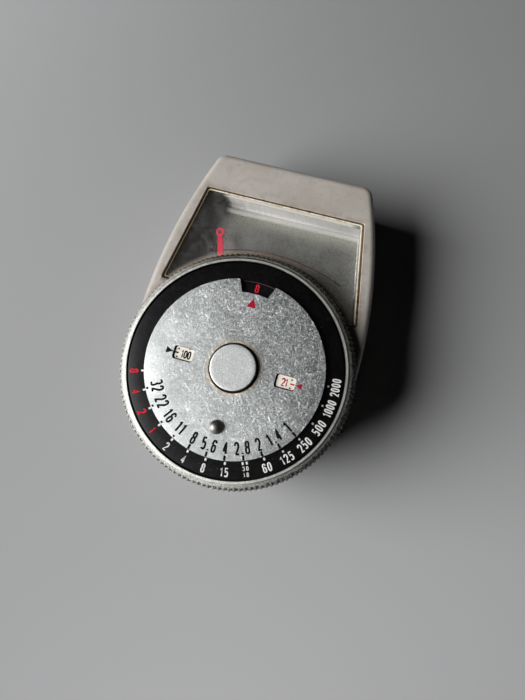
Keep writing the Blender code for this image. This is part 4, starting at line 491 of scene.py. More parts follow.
class Finish:
    """A material in the making. Its lengths are in millimetres, and its colour goes on in layers."""

    def __init__(self, name, roughness, metallic=0.0):
        self.made = bpy.data.materials.new(name)
        self.made.use_nodes = True
        self.tree = self.made.node_tree
        self.set(Roughness=roughness, Metallic=metallic)
        self.spot = self.place()
        self.x, self.y, self.z = (
            self.node("ShaderNodeSeparateXYZ", axis, {0: self.spot}) for axis in "XYZ")
        flat = self.node("ShaderNodeMapping", 0, {"Vector": self.spot, "Scale": (1.0, 1.0, 0.0)})
        self.radius = self.node("ShaderNodeVectorMath", "Value", {0: flat}, operation="LENGTH")

    def node(self, kind, output, inputs, **settings):
        return add(self.tree, kind, output, inputs, **settings)

    def set(self, **inputs):
        """Feed inputs of the Principled node, with underscores for spaces."""
        principled = self.tree.nodes["Principled BSDF"]
        for key, value in inputs.items():
            feed(self.tree, value, principled.inputs[key.replace("_", " ")])

    def place(self, stretch=(1.0, 1.0, 1.0), turn=0.0):
        """Places on the object, turned about Z and then stretched."""
        spot = self.node("ShaderNodeTexCoord", "Object", {})
        turned = self.node("ShaderNodeMapping", 0, {"Vector": spot, "Rotation": (0, 0, radians(turn))})
        return self.node("ShaderNodeMapping", 0, {"Vector": turned, "Scale": [mm(s) for s in stretch]})

    def noise(self, scale, detail=3.0, distortion=0.0, at=None):
        """Noise between 0 and 1, with scale in features per millimetre."""
        return self.node("ShaderNodeTexNoise", "Fac", {
            "Vector": at or self.spot, "Scale": scale, "Detail": detail, "Distortion": distortion})

    def scratches(self, turns, length, width, seed):
        """Fine curved scratches: level lines of stretched noise, broken up by a second noise."""
        found = None
        for i, turn in enumerate(turns):
            along = self.place((1 / length, 1 / width, 1.0), turn)
            shifted = self.node("ShaderNodeVectorMath", "Vector", {
                0: along, 1: (seed + 7 * i, seed, 0)}, operation="ADD")
            line = abs(self.noise(1.0, 1.0, 0.3, shifted) - 0.5).map(0.0, 0.010, 1.0, 0.0)
            broken = self.noise(2.3, 2.0, 0.0, shifted).map(0.54, 0.62)
            found = found.or_more(line * broken) if found else line * broken
        return found

    def mix(self, share, first, second):
        """A colour between two colours, each typed or worked out."""
        first, second = (c if isinstance(c, Value) else (*c, 1) for c in (first, second))
        return self.node("ShaderNodeMix", 2, {0: share, 6: first, 7: second}, data_type="RGBA")

    def start(self, share, first, second):
        """The lowest layer: a mixture of two colours."""
        self.colour = self.mix(share, first, second)

    def lay(self, share, colour):
        """One more layer of colour, where share is above 0."""
        self.colour = self.mix(share, self.colour, colour)

    def bump(self, height, rise, strength):
        """Relief from a height between 0 and 1."""
        self.set(Normal=self.node("ShaderNodeBump", "Normal", {
            "Height": height, "Distance": rise * MM, "Strength": strength}))

    def done(self, **inputs):
        """The material, once its colour and other inputs are fed."""
        self.set(Base_Color=self.colour, **inputs)
        return self.made


# Finishes

WHITE = (1.0, 1.0, 1.0)


def case_plastic(name="aged_case_plastic", tint=(0.470, 0.438, 0.402)):
    """Warm off-white plastic: mottled, specked and scuffed, with brown dirt by the window, painted light
    and shade on the window's ledge, and painted shade round the dial ring.
    """
    m = Finish(name, 0.42)
    darker = [c * share for c, share in zip(tint, (0.86, 0.845, 0.82))]
    m.start(m.noise(0.13, 5.0).map(0.34, 0.66), tint, darker)
    clouds = m.noise(0.75, 5.0).map(0.48, 0.76, 0.0, 0.50)
    m.lay(clouds, (0.345, 0.305, 0.262))
    dark_specks = m.noise(2.6, 2.0).map(0.70, 0.745, 0.0, 0.75)
    m.lay(dark_specks, (0.13, 0.085, 0.055))
    pale_specks = m.noise(3.7, 2.0).map(0.71, 0.76, 0.0, 0.5)
    m.lay(pale_specks, (0.62, 0.61, 0.59))
    scuffs = m.scratches((20, 75, 130), 5.0, 0.5, 3.0)
    m.lay(scuffs * 0.35, (0.60, 0.58, 0.55))

    beside_window = m.y.map(mm(WINDOW_FOOT[1]) - 1.0, mm(WINDOW_FOOT[1]))
    outside = window_distance(m)
    patches = m.noise(0.55, 4.0).map(0.42, 0.68, 0.0, 0.6)
    stain = outside.map(1.3, 0.1) * patches * outside.map(-0.1, 0.0) * beside_window
    m.lay(stain, (0.25, 0.18, 0.115))
    # Painted light and shade on the window's ledge and inner walls: lit cream in the middle, dark grey at
    # the right and near black in the shadow at the left.
    ledge = outside.map(-0.05, -0.15) * beside_window
    paint = m.mix(m.x.map(13.4, 15.0), (0.78, 0.75, 0.69), (0.26, 0.25, 0.20))
    paint = m.mix(m.x.map(-11.2, -13.0), paint, (0.045, 0.033, 0.024))
    m.lay(ledge, paint)
    # Painted shade in dark brown on the top face round the dial ring.
    near_ring = m.radius.map(24.0, 22.4, 0.0, 0.65)
    shade_on_top_face = m.z.map(mm(CASE_TOP) - 0.9, mm(CASE_TOP) - 0.2)
    m.lay(near_ring * shade_on_top_face, (0.15, 0.105, 0.07))

    m.bump(m.noise(5.0, 3.0) + scuffs * 0.8, 0.03, 0.4)
    m.set(Subsurface_Weight=0.05, Subsurface_Radius=(0.002, 0.0015, 0.001))
    return m.done(Roughness=m.noise(0.5, 4.0).map(0.3, 0.7, 0.34, 0.54))


def window_distance(m):
    """How far a point lies outside the window's side and far edges."""
    foot_x, foot_y = (mm(v) for v in WINDOW_FOOT)
    end_x, end_y = (mm(v) for v in WINDOW_END)
    beyond = m.y - end_y
    narrower = beyond * ((end_x - foot_x) / (end_y - foot_y))
    beside = abs(m.x) - narrower - end_x
    return beside.or_more(beyond)


def disc_aluminium():
    """Satin aluminium: bright and dark grain, scratches, a brown ring round the cap, painted shade towards
    the disc's right and far side, and painted shade in the cap's recess.
    """
    m = Finish("scratched_disc_aluminium", 0.38, 1.0)
    across = m.x + m.y * 0.8
    worn = across.map(-10.0, 6.0, 0.30, 1.0)
    etch = m.noise(4.2, 6.0)
    long_marks = m.scratches((12, 48, 86, 121, 158), 3.6, 0.40, 1.0)
    marks = long_marks.or_more(m.scratches((33, 104, 146, 70), 1.8, 0.24, 9.0))
    m.start(m.noise(0.17, 5.0, 0.6).map(0.36, 0.64), (0.68, 0.70, 0.695), (0.54, 0.565, 0.56))
    # Painted shade, darker towards the disc's right and far side.
    painted_shade_side = across.map(-2.0, 13.0, 0.0, 0.55)
    m.lay(painted_shade_side, (0.30, 0.315, 0.31))
    dark_grain = etch.map(0.47, 0.58) * worn * 0.65
    m.lay(dark_grain, (0.20, 0.215, 0.21))
    flecks = m.noise(3.1, 8.0, 0.8).map(0.56, 0.64) * worn * 0.5
    m.lay(flecks, WHITE)
    m.lay(marks, WHITE)
    pits = m.noise(1.9, 3.0).map(0.70, 0.735, 0.0, 0.8)
    m.lay(pits, (0.17, 0.165, 0.16))
    halo = m.radius.map(5.6, 4.75) * m.noise(0.8, 4.0).map(0.32, 0.60, 0.25, 1.0)
    m.lay(halo * 0.8, (0.70, 0.58, 0.42))
    # Painted shade in the recess round the cap.
    shade_in_cap_recess = m.radius.map(4.70, 4.60)
    m.lay(shade_in_cap_recess, (0.035, 0.028, 0.022))
    m.bump(etch * worn + marks, 0.035, 0.75)
    return m.done(Roughness=(flecks - marks).map(-1.0, 1.0, 0.30, 0.46))


def cap_aluminium():
    """The cap's finer, more even etch, with painted shade on its side wall."""
    m = Finish("etched_cap_aluminium", 0.5, 1.0)
    etch = m.noise(6.0, 4.0)
    m.start(etch.map(0.40, 0.64), (0.74, 0.75, 0.74), (0.50, 0.52, 0.51))
    m.lay(m.noise(1.3, 5.0).map(0.50, 0.80, 0.0, 0.22), (0.66, 0.64, 0.58))
    m.lay(m.scratches((60, 140), 2.4, 0.30, 17.0) * 0.6, WHITE)
    # Painted shade on the cap's side wall.
    side = m.radius.map(4.16, 4.24)
    m.lay(side, (0.05, 0.042, 0.036))
    m.bump(etch, 0.02, 0.6)
    return m.done(Roughness=m.noise(2.2, 3.0).map(0.3, 0.7, 0.46, 0.54))


def rim_metal():
    """Worn plated rim: specked silver near its lip, dark and grimy in the knurl below. The side away from
    the lamp gets painted shade and a painted highlight along the lip, and painted glints lie over it.
    """
    m = Finish("worn_knurled_rim", 0.36, 1.0)
    angle = m.y.maths("ARCTAN2", m.y, m.x)
    shaded = (angle - radians(RIM_DARK_SIDE)).cosine().map(-0.45, 0.35)
    ragged = m.radius + m.noise(1.4, 4.0).map(0.3, 0.7, -0.22, 0.22)
    outside = (ragged - shaded.map(0.0, 1.0, 21.46, 21.30)).map(0.0, 0.32)
    flutes = (angle * KNURL_TEETH).cosine().map(0.75, 0.0, 0.30, 1.0)
    # Dirt in the knurl's flutes, and painted shade over the whole knurl on the side away from the lamp.
    grime_and_shade = outside * flutes.or_more(shaded * 0.88)
    on_lip = m.radius.map(mm(LIP_OUTER) + 0.1, mm(LIP_OUTER))
    m.start(m.noise(3.0, 6.0).map(0.42, 0.58), (0.84, 0.83, 0.785), (0.44, 0.425, 0.39))
    # Painted shade on the side away from the lamp.
    m.lay(shaded * 0.55, (0.16, 0.155, 0.14))
    # The lip's polish, laid on more thickly on the shaded side as a painted highlight.
    polish_and_lip_highlight = on_lip * shaded.map(0.0, 1.0, 0.60, 0.85)
    m.lay(polish_and_lip_highlight, (0.72, 0.715, 0.67))
    m.lay(grime_and_shade, (0.020, 0.017, 0.014))
    glints = m.noise(3.9, 3.0).map(0.60, 0.66) * shaded.map(0.0, 1.0, 0.9, 0.5)
    m.lay(glints, (1.0, 1.0, 0.97))
    nicks = m.noise(2.9, 3.0).map(0.62, 0.68)
    m.lay(nicks * (1.0 - on_lip * 0.7) * 0.75, (0.06, 0.055, 0.05))
    # The lip's dark lines show fully on the shaded side and fade on the lit side: painted shade.
    shade_on_lines = shaded.map(0.0, 1.0, 0.30, 1.0)
    seam = abs(m.radius - (mm(LIP_OUTER) - 0.02)).map(0.05, 0.16, 0.95, 0.0)
    m.lay(seam * shade_on_lines, (0.012, 0.011, 0.010))
    line_pitch = 0.22
    turned = (m.radius * (2 * pi / line_pitch) - pi / 2).cosine().map(0.1, 0.9, 0.0, 0.7)
    m.lay(on_lip * turned * shade_on_lines, (0.10, 0.097, 0.09))
    inner_edge = m.radius.map(mm(LIP_INNER) + 0.16, mm(LIP_INNER) + 0.06)
    m.lay(inner_edge, (0.015, 0.014, 0.013))
    chalky = m.noise(2.2, 4.0).map(0.35, 0.65, 0.35, 0.75).or_more(shaded * 0.9)
    m.bump(m.noise(3.2, 4.0) - nicks, 0.05, 0.45)
    return m.done(Metallic=chalky.towards(0.68, on_lip),
                  Roughness=m.noise(1.1, 3.0).map(0.3, 0.7, 0.36, 0.52) + grime_and_shade * 0.25)


def black_enamel():
    """Satin black enamel with faint brown haze, dust and light rub marks."""
    m = Finish("black_scale_enamel", 0.42)
    m.start(m.noise(0.35, 4.0).map(0.35, 0.7), (0.0010, 0.0009, 0.0011), (0.0032, 0.0026, 0.0030))
    m.lay(m.scratches((15, 80, 125), 2.2, 0.24, 23.0) * 0.16, (0.13, 0.12, 0.11))
    dust = m.noise(3.6, 2.0).map(0.72, 0.76, 0.0, 0.5)
    m.lay(dust, (0.24, 0.22, 0.20))
    m.bump(m.noise(7.0, 2.0), 0.008, 0.4)
    m.set(Specular_IOR_Level=0.25)
    return m.done(Roughness=m.noise(1.2, 3.0).map(0.3, 0.7, 0.28, 0.36))


def cream_enamel():
    """Aged cream enamel of the film speed disc."""
    m = Finish("cream_film_enamel", 0.5)
    m.start(m.noise(0.8, 4.0).map(0.35, 0.7), (0.88, 0.83, 0.73), (0.78, 0.71, 0.59))
    specks = m.noise(4.2, 2.0).map(0.68, 0.74, 0.0, 0.5)
    m.lay(specks, (0.34, 0.25, 0.17))
    m.bump(m.noise(6.0, 2.0), 0.006, 0.4)
    return m.done()


def ink(name, colour, worn):
    """Printed ink, a little uneven where it has rubbed thin."""
    m = Finish(name, 0.7)
    m.start(m.noise(4.5, 3.0).map(0.56, 0.74, 0.0, 0.5), colour, worn)
    m.set(Specular_IOR_Level=0.08)
    return m.done()


def pan_metal():
    """The pan: a scratched satin floor, a painted highlight along its far cove, a pale far wall fading to
    grey rightwards as painted light, painted shade along the wall's fold, and painted shadow in dark brown
    at the left.
    """
    m = Finish("dusty_pan_metal", 0.30, 1.0)
    grain = m.noise(3.6, 6.0)
    m.start(m.noise(0.10, 4.0, 0.4).map(0.34, 0.66), (0.62, 0.62, 0.60), (0.50, 0.495, 0.475))
    m.lay(grain.map(0.46, 0.64, 0.0, 0.5), (0.80, 0.79, 0.74))
    dark = m.noise(1.3, 6.0).map(0.54, 0.70, 0.0, 0.3)
    m.lay(dark, (0.32, 0.305, 0.27))
    dust = m.noise(2.6, 3.0).map(0.66, 0.71, 0.0, 0.7)
    m.lay(dust, (0.93, 0.88, 0.74))
    marks = m.scratches((5, 65, 115, 170), 2.4, 0.24, 31.0)
    m.lay(marks * 0.7, (0.98, 0.97, 0.92))
    # Brown beside the dial ring: partly dirt, partly painted shade and reflection of the knurl.
    near_ring = m.radius.map(26.5, 23.0) * m.noise(0.5, 5.0).map(0.30, 0.62, 0.3, 0.9)
    m.lay(near_ring, (0.42, 0.33, 0.23))

    from_far = mm(WINDOW_END[1] - PAN_WALL_INSET) - m.y
    # A yellowish, matt band of floor by the far wall.
    matt_band_by_far_wall = from_far.map(5.2, 1.6) * 0.80
    m.lay(matt_band_by_far_wall, (0.47, 0.46, 0.385))
    lit = from_far.map(1.7, 0.7)
    m.lay(lit, (0.60, 0.59, 0.54))
    at_far = from_far.map(2.0, 1.8)
    wall = at_far * m.z.map(mm(WALL_FOOT), mm(WALL_FOOT) + 0.1)
    streaks = m.noise(1.0, 4.0, 0.0, m.place((1.6, 1.6, 0.12))).map(0.40, 0.68)
    pale = m.mix(streaks, (1.0, 0.99, 0.97), (0.86, 0.84, 0.80))
    # The far wall is pale, and its fade to grey towards the right is painted light.
    m.lay(wall, m.mix(m.x.map(-8.0, 12.0), pale, (0.58, 0.58, 0.57)))
    # Painted shade along the fold between the far wall and its cove.
    crease_shade = abs(m.z - (mm(WALL_FOOT) + 0.12)).map(0.02, 0.10, 0.5, 0.0)
    m.lay(crease_shade * at_far, (0.20, 0.17, 0.14))

    # Painted shadow in dark brown: the left wall, and the far wall's left end that the window's left edge
    # shades.
    left_wall = (m.x - m.y * 0.19).map(-18.4, -21.0)
    brown = left_wall * m.noise(0.35, 4.0).map(0.25, 0.6, 0.8, 1.0)
    brown = brown.or_more(m.x.map(-11.5, -12.9) * from_far.map(3.0, 1.0))
    m.lay(brown, (0.050, 0.036, 0.026))
    matt = wall.or_more(matt_band_by_far_wall * 0.45).or_more(lit * 0.85) - brown
    matt = matt.or_more(m.x.map(-3.0, -11.0, 0.10, 0.42))
    m.bump(grain + marks * 0.25, 0.010, 0.4)
    return m.done(Metallic=1.0 - matt, Roughness=grain.map(0.3, 0.7, 0.26, 0.34))


def glue(name, light, dark, brown):
    """Old glue: glossy and flecked, dark along the window's left edge and lighter at its right."""
    m = Finish(name, 0.25)
    m.start(m.noise(1.1, 5.0).map(0.44, 0.66, 0.0, 0.8), light, dark)
    m.lay(m.x.map(-13.5, -16.5), dark)
    m.lay(m.x.map(14.5, 16.0) * m.y.map(20.0, 30.0), brown)
    m.bump(m.noise(1.6, 3.0), 0.05, 0.6)
    return m.done()


def clear(name, tint, alpha, roughness):
    """Clear plastic or glass: faint smears and lint, and a brown band close to the dial that is partly
    dirt and partly painted shade and reflection of the knurl.
    """
    m = Finish(name, roughness)
    smear = m.noise(0.3, 4.0, 0.8)
    lint = m.scratches((40, 95, 150), 2.2, 0.20, 41.0)
    m.start(lint * 0.8, tint, (0.9, 0.9, 0.88))
    # Brown band beside the dial: partly dirt, partly painted shade and reflection of the knurl.
    grime_and_shade = m.radius.map(23.9, 22.9) * m.noise(0.7, 4.0).map(0.30, 0.60, 0.6, 1.0)
    m.lay(grime_and_shade, (0.34, 0.23, 0.125))
    film = (lint * 0.35 + smear).map(0.45, 1.2, alpha, alpha + 0.18)
    m.set(IOR=1.5)
    m.made.surface_render_method = "BLENDED"
    return m.done(Roughness=smear.map(0.35, 0.7, roughness, roughness + 0.14),
                  Alpha=film.or_more(grime_and_shade * 0.6))


def plain_metal(name, light, dark, roughness, turned=False):
    """Metal inside the case: slightly stained, with fine tool marks."""
    m = Finish(name, roughness, 1.0)
    m.start(m.noise(0.9, 4.0).map(0.34, 0.68), light, dark)
    stretch = (0.4, 9.0, 9.0) if turned else (1.0, 12.0, 1.0)
    marks = m.noise(1.0, 3.0, 0.0, m.place(stretch))
    m.bump(marks, 0.006, 0.5)
    return m.done(Roughness=marks.map(0.3, 0.7, roughness - 0.07, roughness + 0.10))


def painted(name, light, dark, roughness):
    """Lacquer or rubber with a fine orange-peel surface and a faint mottle."""
    m = Finish(name, roughness)
    m.start(m.noise(1.1, 4.0).map(0.36, 0.7), light, dark)
    m.bump(m.noise(6.0, 2.0), 0.008, 0.4)
    return m.done(Roughness=m.noise(2.0, 2.0).map(0.3, 0.7, roughness - 0.06, roughness + 0.1))


def winding_wire():
    """Fine enamelled wire, lying in turns round the coil."""
    m = Finish("coil_wire", 0.35, 0.9)
    turns = m.node("ShaderNodeTexWave", "Fac", {
        "Vector": m.spot, "Scale": 3.2, "Distortion": 0.4, "Detail": 1.0}, bands_direction="Y")
    m.start(turns, (0.20, 0.075, 0.035), (0.70, 0.31, 0.15))
    m.bump(turns, 0.04, 0.8)
    return m.done()


FINISHES = {
    "case_plastic": case_plastic(),
    "cover_plastic": case_plastic("aged_cover_plastic", (0.44, 0.41, 0.37)),
    "clear_glass": clear("window_glass", (0.42, 0.42, 0.40), 0.03, 0.04),
    "lens_plastic": clear("lens_plastic", (0.62, 0.61, 0.55), 0.42, 0.10),
    "scale_metal": pan_metal(),
    "satin_aluminium": plain_metal("satin_aluminium", (0.74, 0.74, 0.73), (0.60, 0.60, 0.58), 0.36),
    "black_lacquer": black_enamel(),
    "cream_lacquer": cream_enamel(),
    "red_lacquer": painted("pointer_red", (0.86, 0.03, 0.085), (0.72, 0.02, 0.055), 0.38),
    "needle_lacquer": painted("needle_black", (0.035, 0.035, 0.045), (0.06, 0.055, 0.06), 0.42),
    "steel": plain_metal("worn_steel", (0.36, 0.34, 0.325), (0.20, 0.185, 0.175), 0.26, True),
    "brass": plain_metal("inner_brass", (0.72, 0.55, 0.27), (0.52, 0.37, 0.16), 0.30, True),
    "spring_bronze": plain_metal("spring_bronze", (0.60, 0.37, 0.20), (0.42, 0.24, 0.12), 0.34),
    "copper": winding_wire(),
    "iron": plain_metal("soft_iron", (0.30, 0.30, 0.31), (0.20, 0.19, 0.19), 0.46),
    "magnet": plain_metal("magnet_alloy", (0.24, 0.24, 0.25), (0.15, 0.15, 0.155), 0.50),
    "selenium": painted("selenium_face", (0.085, 0.08, 0.10), (0.14, 0.12, 0.13), 0.28),
    "gasket_rubber": painted("gasket_rubber", (0.025, 0.025, 0.025), (0.05, 0.047, 0.045), 0.7),
    "wire_cover": painted("wire_cover", (0.42, 0.03, 0.035), (0.30, 0.02, 0.025), 0.5),
}
DISC_METAL = disc_aluminium()
CAP_METAL = cap_aluminium()
RIM_METAL = rim_metal()
STUD_METAL = plain_metal("dull_stud_steel", (0.25, 0.235, 0.23), (0.13, 0.12, 0.115), 0.42)
BLACK_INK = ink("black_ink", (0.006, 0.006, 0.007), (0.05, 0.05, 0.05))
WHITE_INK = ink("white_ink", (0.80, 0.79, 0.76), (0.50, 0.49, 0.47))
RED_INK = ink("red_ink", (0.80, 0.020, 0.045), (0.50, 0.02, 0.035))
DEEP_RED_INK = ink("deep_red_ink", (0.38, 0.008, 0.030), (0.30, 0.03, 0.05))
FADED_INK = ink("faded_red_ink", (0.14, 0.022, 0.035), (0.20, 0.10, 0.09))
ROSE_INK = ink("rose_ink", (0.10, 0.055, 0.06), (0.04, 0.025, 0.03))
PURPLE_INK = ink("purple_ink", (0.10, 0.010, 0.040), (0.12, 0.05, 0.06))
GOLD_GLUE = glue("gold_glue", (0.86, 0.80, 0.66), (0.42, 0.30, 0.16), (0.90, 0.86, 0.76))
DARK_GLUE = glue("dark_glue", (0.12, 0.065, 0.025), (0.016, 0.010, 0.006), (0.17, 0.105, 0.042))


def dress_nodes():
    """Give every CAD node the finish of its slot."""
    for row in frame["record"]["subparts"]:
        node = frame["nodes"][row["node"]]
        node.data.materials.clear()
        node.data.materials.append(FINISHES[row["material_slot"]])


# Case

def case_shell():
    """The upper shell, with smooth rounded edges, window ledge, lens opening and hub hole."""
    shoulder = CASE_TOP - CASE_EDGE_RADIUS
    rows = [level(case_outline(CASE_CHAMFER), CASE_FOOT),
            level(case_outline(0.0), CASE_FOOT + CASE_CHAMFER)]
    for turn in quarter(8):
        inset = CASE_EDGE_RADIUS * (1 - cos(turn))
        rows.append(level(case_outline(inset), shoulder + CASE_EDGE_RADIUS * sin(turn)))
    rows.append(level(case_outline(CASE_EDGE_RADIUS + CASE_TOP_STEP), CASE_TOP))
    shell = show("case_shell", finished(loft(rows), "case_shell"), FINISHES["case_plastic"],
                 CASE, "case_plastic", "case_body")
    ceiling = CASE_TOP - CASE_WALL
    cut(shell, prism(case_outline(CASE_WALL, 40, 8, 4), CASE_FOOT - OVERRUN, ceiling, "hollow"))
    rebate = [level(window_outline(inset), z) for inset, z in (
        (0.0, LEDGE_TOP), (0.0, CASE_TOP - CASE_CHAMFER),
        (-CASE_CHAMFER, CASE_TOP), (-CASE_CHAMFER, CASE_TOP + OVERRUN))]
    cut(shell, finished(loft(rebate), "rebate"))
    cut(shell, prism(window_outline(LEDGE_WIDTH), ceiling - OVERRUN, LEDGE_TOP + OVERRUN, "opening"))
    cut(shell, column(reach_of("dial_hub") / 3, ceiling - OVERRUN, CASE_TOP + OVERRUN))
    low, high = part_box("honeycomb_lens")
    cut(shell, block((low[0] + LENS_MARGIN, CASE_END_Y - 2 * CASE_WALL, low[2] + LENS_MARGIN),
                     (high[0] - LENS_MARGIN, CASE_END_Y + OVERRUN, high[2] - LENS_MARGIN)))
    smooth(shell.data)
    weigh_normals(shell)


def edge_strip(name, outer, inner, crown, material):
    """A low strip of glue round the pane, between two insets of the window's edges."""
    middle = [(a + b) / 2 for a, b in zip(outer, inner)]
    foot = PANE_TOP - STRIP_SINK
    rows = [level(window_loop(insets), z) for insets, z in (
        (outer, foot), (outer, PANE_TOP + crown / 2), (middle, PANE_TOP + crown),
        (inner, PANE_TOP), (inner, foot))]
    show(name, finished(loft(rows, hoop=True), name, 60), material, CASE, "case_plastic")


def window_glue():
    """The pane's edge: a groove of old brown glue, and a thin bright bevel inside it."""
    edge_strip("window_grime", GROOVE_OUTER, GROOVE_INNER, GROOVE_CROWN, DARK_GLUE)
    edge_strip("window_bevel", GROOVE_INNER, BEVEL_INNER, BEVEL_CROWN, GOLD_GLUE)


def cove_inset(radius, height):
    """How far a cove of this radius stands in from its wall at a height above the floor."""
    if height >= radius:
        return 0.0
    return radius - sqrt(radius**2 - (radius - height)**2)


def scale_pan():
    """The pan under the window: a wide cove up its far wall, narrow ones at its sides."""
    top = top_of("scale_plate")
    heights = {cove * (1 - cos(turn)) for cove in (PAN_SIDE_COVE, PAN_FAR_COVE)
               for turn in quarter(COVE_STEPS)}
    rows = [(PAN_WALL_INSET + cove_inset(PAN_SIDE_COVE, height),
             PAN_WALL_INSET + cove_inset(PAN_FAR_COVE, height), PAN_FLOOR + height)
            for height in sorted(heights)]
    outer = PAN_WALL_INSET - PAN_THICKNESS
    rows += [(PAN_WALL_INSET, PAN_WALL_INSET, top), (outer, outer, top),
             (outer, outer, PAN_FLOOR - PAN_THICKNESS)]
    shape = bmesh.new()
    grid = []
    for side, far, z in rows:
        loop = inset_loop(WINDOW_CORNERS, [-PAN_FOOT_REACH, side, far, side])
        grid.append([shape.verts.new(point) for point in level(loop, z)])
    for first, second in zip(grid, grid[1:]):
        for i, j in ((1, 2), (2, 3), (3, 0)):
            shape.faces.new([first[i], first[j], second[j], second[i]])
    shape.faces.new(grid[0])
    shape.faces.new(grid[-1])
    open_end = [row[0] for row in grid] + [row[1] for row in reversed(grid)]
    shape.faces.new(open_end)
    show("scale_pan", finished(shape, "scale_pan", 25), FINISHES["scale_metal"], CASE,
         "scale_metal", "scale_plate")


# Dial

def rim_profile():
    """The ring's section: radius, height and the share of the knurl's depth."""
    wall_top = RING_FOOT + RING_WALL_HEIGHT
    web_top = PLATE_FOOT - SEAT_GAP
    inner = RING_RADIUS - RING_THICKNESS
    profile = [
        (RING_RADIUS - RING_FOOT_CHAMFER, RING_FOOT, 0.0),
        (RING_RADIUS - KNURL_CHAMFER, RING_FOOT + KNURL_CHAMFER, 0.4),
        (RING_RADIUS, RING_FOOT + KNURL_FOOT, 1.0),
        (RING_RADIUS, wall_top, 1.0),
    ]
    for k in range(1, BEVEL_STEPS + 1):
        t = k / BEVEL_STEPS
        bulge = BEVEL_BULGE * sin(pi * t)
        radius = RING_RADIUS + (LIP_OUTER + KNURL_CHAMFER - RING_RADIUS) * t + bulge
        height = wall_top + (FACE_Z - wall_top) * t + bulge * 0.4
        profile.append((radius, height, max(0.0, 1 - 2.2 * t)))
    return profile + [(radius, height, 0.0) for radius, height in (
        (LIP_OUTER + 0.25 * LIP_ROUND, FACE_Z + 0.75 * LIP_ROUND),
        (LIP_OUTER - 1.25 * LIP_ROUND, LIP_TOP - LIP_ROUND / 8),
        (LIP_OUTER - 2.5 * LIP_ROUND, LIP_TOP),
        (LIP_INNER + LIP_ROUND, LIP_TOP),
        (LIP_INNER, LIP_TOP - LIP_ROUND),
        (LIP_INNER, web_top),
        (WEB_BORE, web_top),
        (WEB_BORE, web_top - WEB_THICKNESS),
        (inner, web_top - WEB_THICKNESS),
        (inner, RING_FOOT),
    )]


def knurled_rim():
    """The knurled ring: flutes up its wall that die out on the bevel, below a bright lip."""
    steps = KNURL_TEETH * TOOTH_STEPS
    rows = []
    for radius, z, share in rim_profile():
        row = []
        for i in range(steps):
            dip = 0.5 - 0.5 * cos(2 * pi * i / TOOTH_STEPS)
            reach = radius - KNURL_DEPTH * share * dip**0.8
            angle = 2 * pi * i / steps
            row.append((reach * cos(angle), reach * sin(angle), z))
        rows.append(row)
    show("knurled_rim", finished(loft(rows, hoop=True), "knurled_rim", 34), RIM_METAL, RING,
         "satin_aluminium", "dial_ring")


def turned_ring(name, profile, material, body, slot, node):
    """A ring with softened corners, turned from a section of (radius, height)."""
    rows = spun(rounded_profile(profile, 0.05 * MM), 180)
    show(name, finished(loft(rows, hoop=True), name, 40), material, body, slot, node)


def black_plate():
    """The time scale's flat black ring."""
    profile = [(PLATE_BORE, PLATE_FOOT), (PLATE_BORE, TIME_Z),
               (PLATE_RADIUS, TIME_Z), (PLATE_RADIUS, PLATE_FOOT)]
    turned_ring("black_plate", profile, FINISHES["black_lacquer"], RING, "black_lacquer",
                "time_scale_plate")


def cream_disc():
    """The film speed disc, with a raised ring that carries the printed speeds."""
    bottom = bottom_of("film_speed_disc")
    profile = [(FILM_BORE, bottom), (FILM_BORE, FILM_Z), (FILM_STEP_INNER, FILM_Z),
               (FILM_STEP_INNER, SPEED_Z), (FILM_RADIUS, SPEED_Z), (FILM_RADIUS, bottom)]
    turned_ring("cream_disc", profile, FINISHES["cream_lacquer"], CASE, "cream_lacquer",
                "film_speed_disc")


def speed_window(side, left, near, right, far):
    """The outline of a film speed window, moved out by a distance at each edge."""
    x = side * SPEED_WINDOW_X
    half_width, half_height = SPEED_WINDOW_HALF
    corners = rectangle(x - half_width - left, -half_height - near,
                        x + half_width + right, half_height + far)
    return rounded(corners, SPEED_WINDOW_CORNER, 5)


def window_rims():
    """Painted shadow in the two speed windows: thin black sheets under the disc that show at the windows'
    left and near sides.
    """
    lower, upper = SPEED_Z + 0.01 * MM, SPEED_Z + 0.03 * MM
    for name, side in (("left_window_shadow", -1), ("right_window_shadow", 1)):
        outer = speed_window(side, *[SHADOW_OVERLAP] * 4)
        inner = speed_window(side, -SHADOW_LEFT, -SHADOW_NEAR, -SHADOW_RIGHT, -SHADOW_FAR)
        rows = [level(outer, lower), level(outer, upper), level(inner, upper), level(inner, lower)]
        show(name, finished(loft(rows, hoop=True), name), BLACK_INK, DISC, "satin_aluminium")


def disc_height(radius):
    """The height of the f-stop disc's top at a radius."""
    out = max(0.0, (radius - DOME_START) / (DISC_RADIUS - DOME_START))
    return DISC_TOP - DOME_DROP * out**2


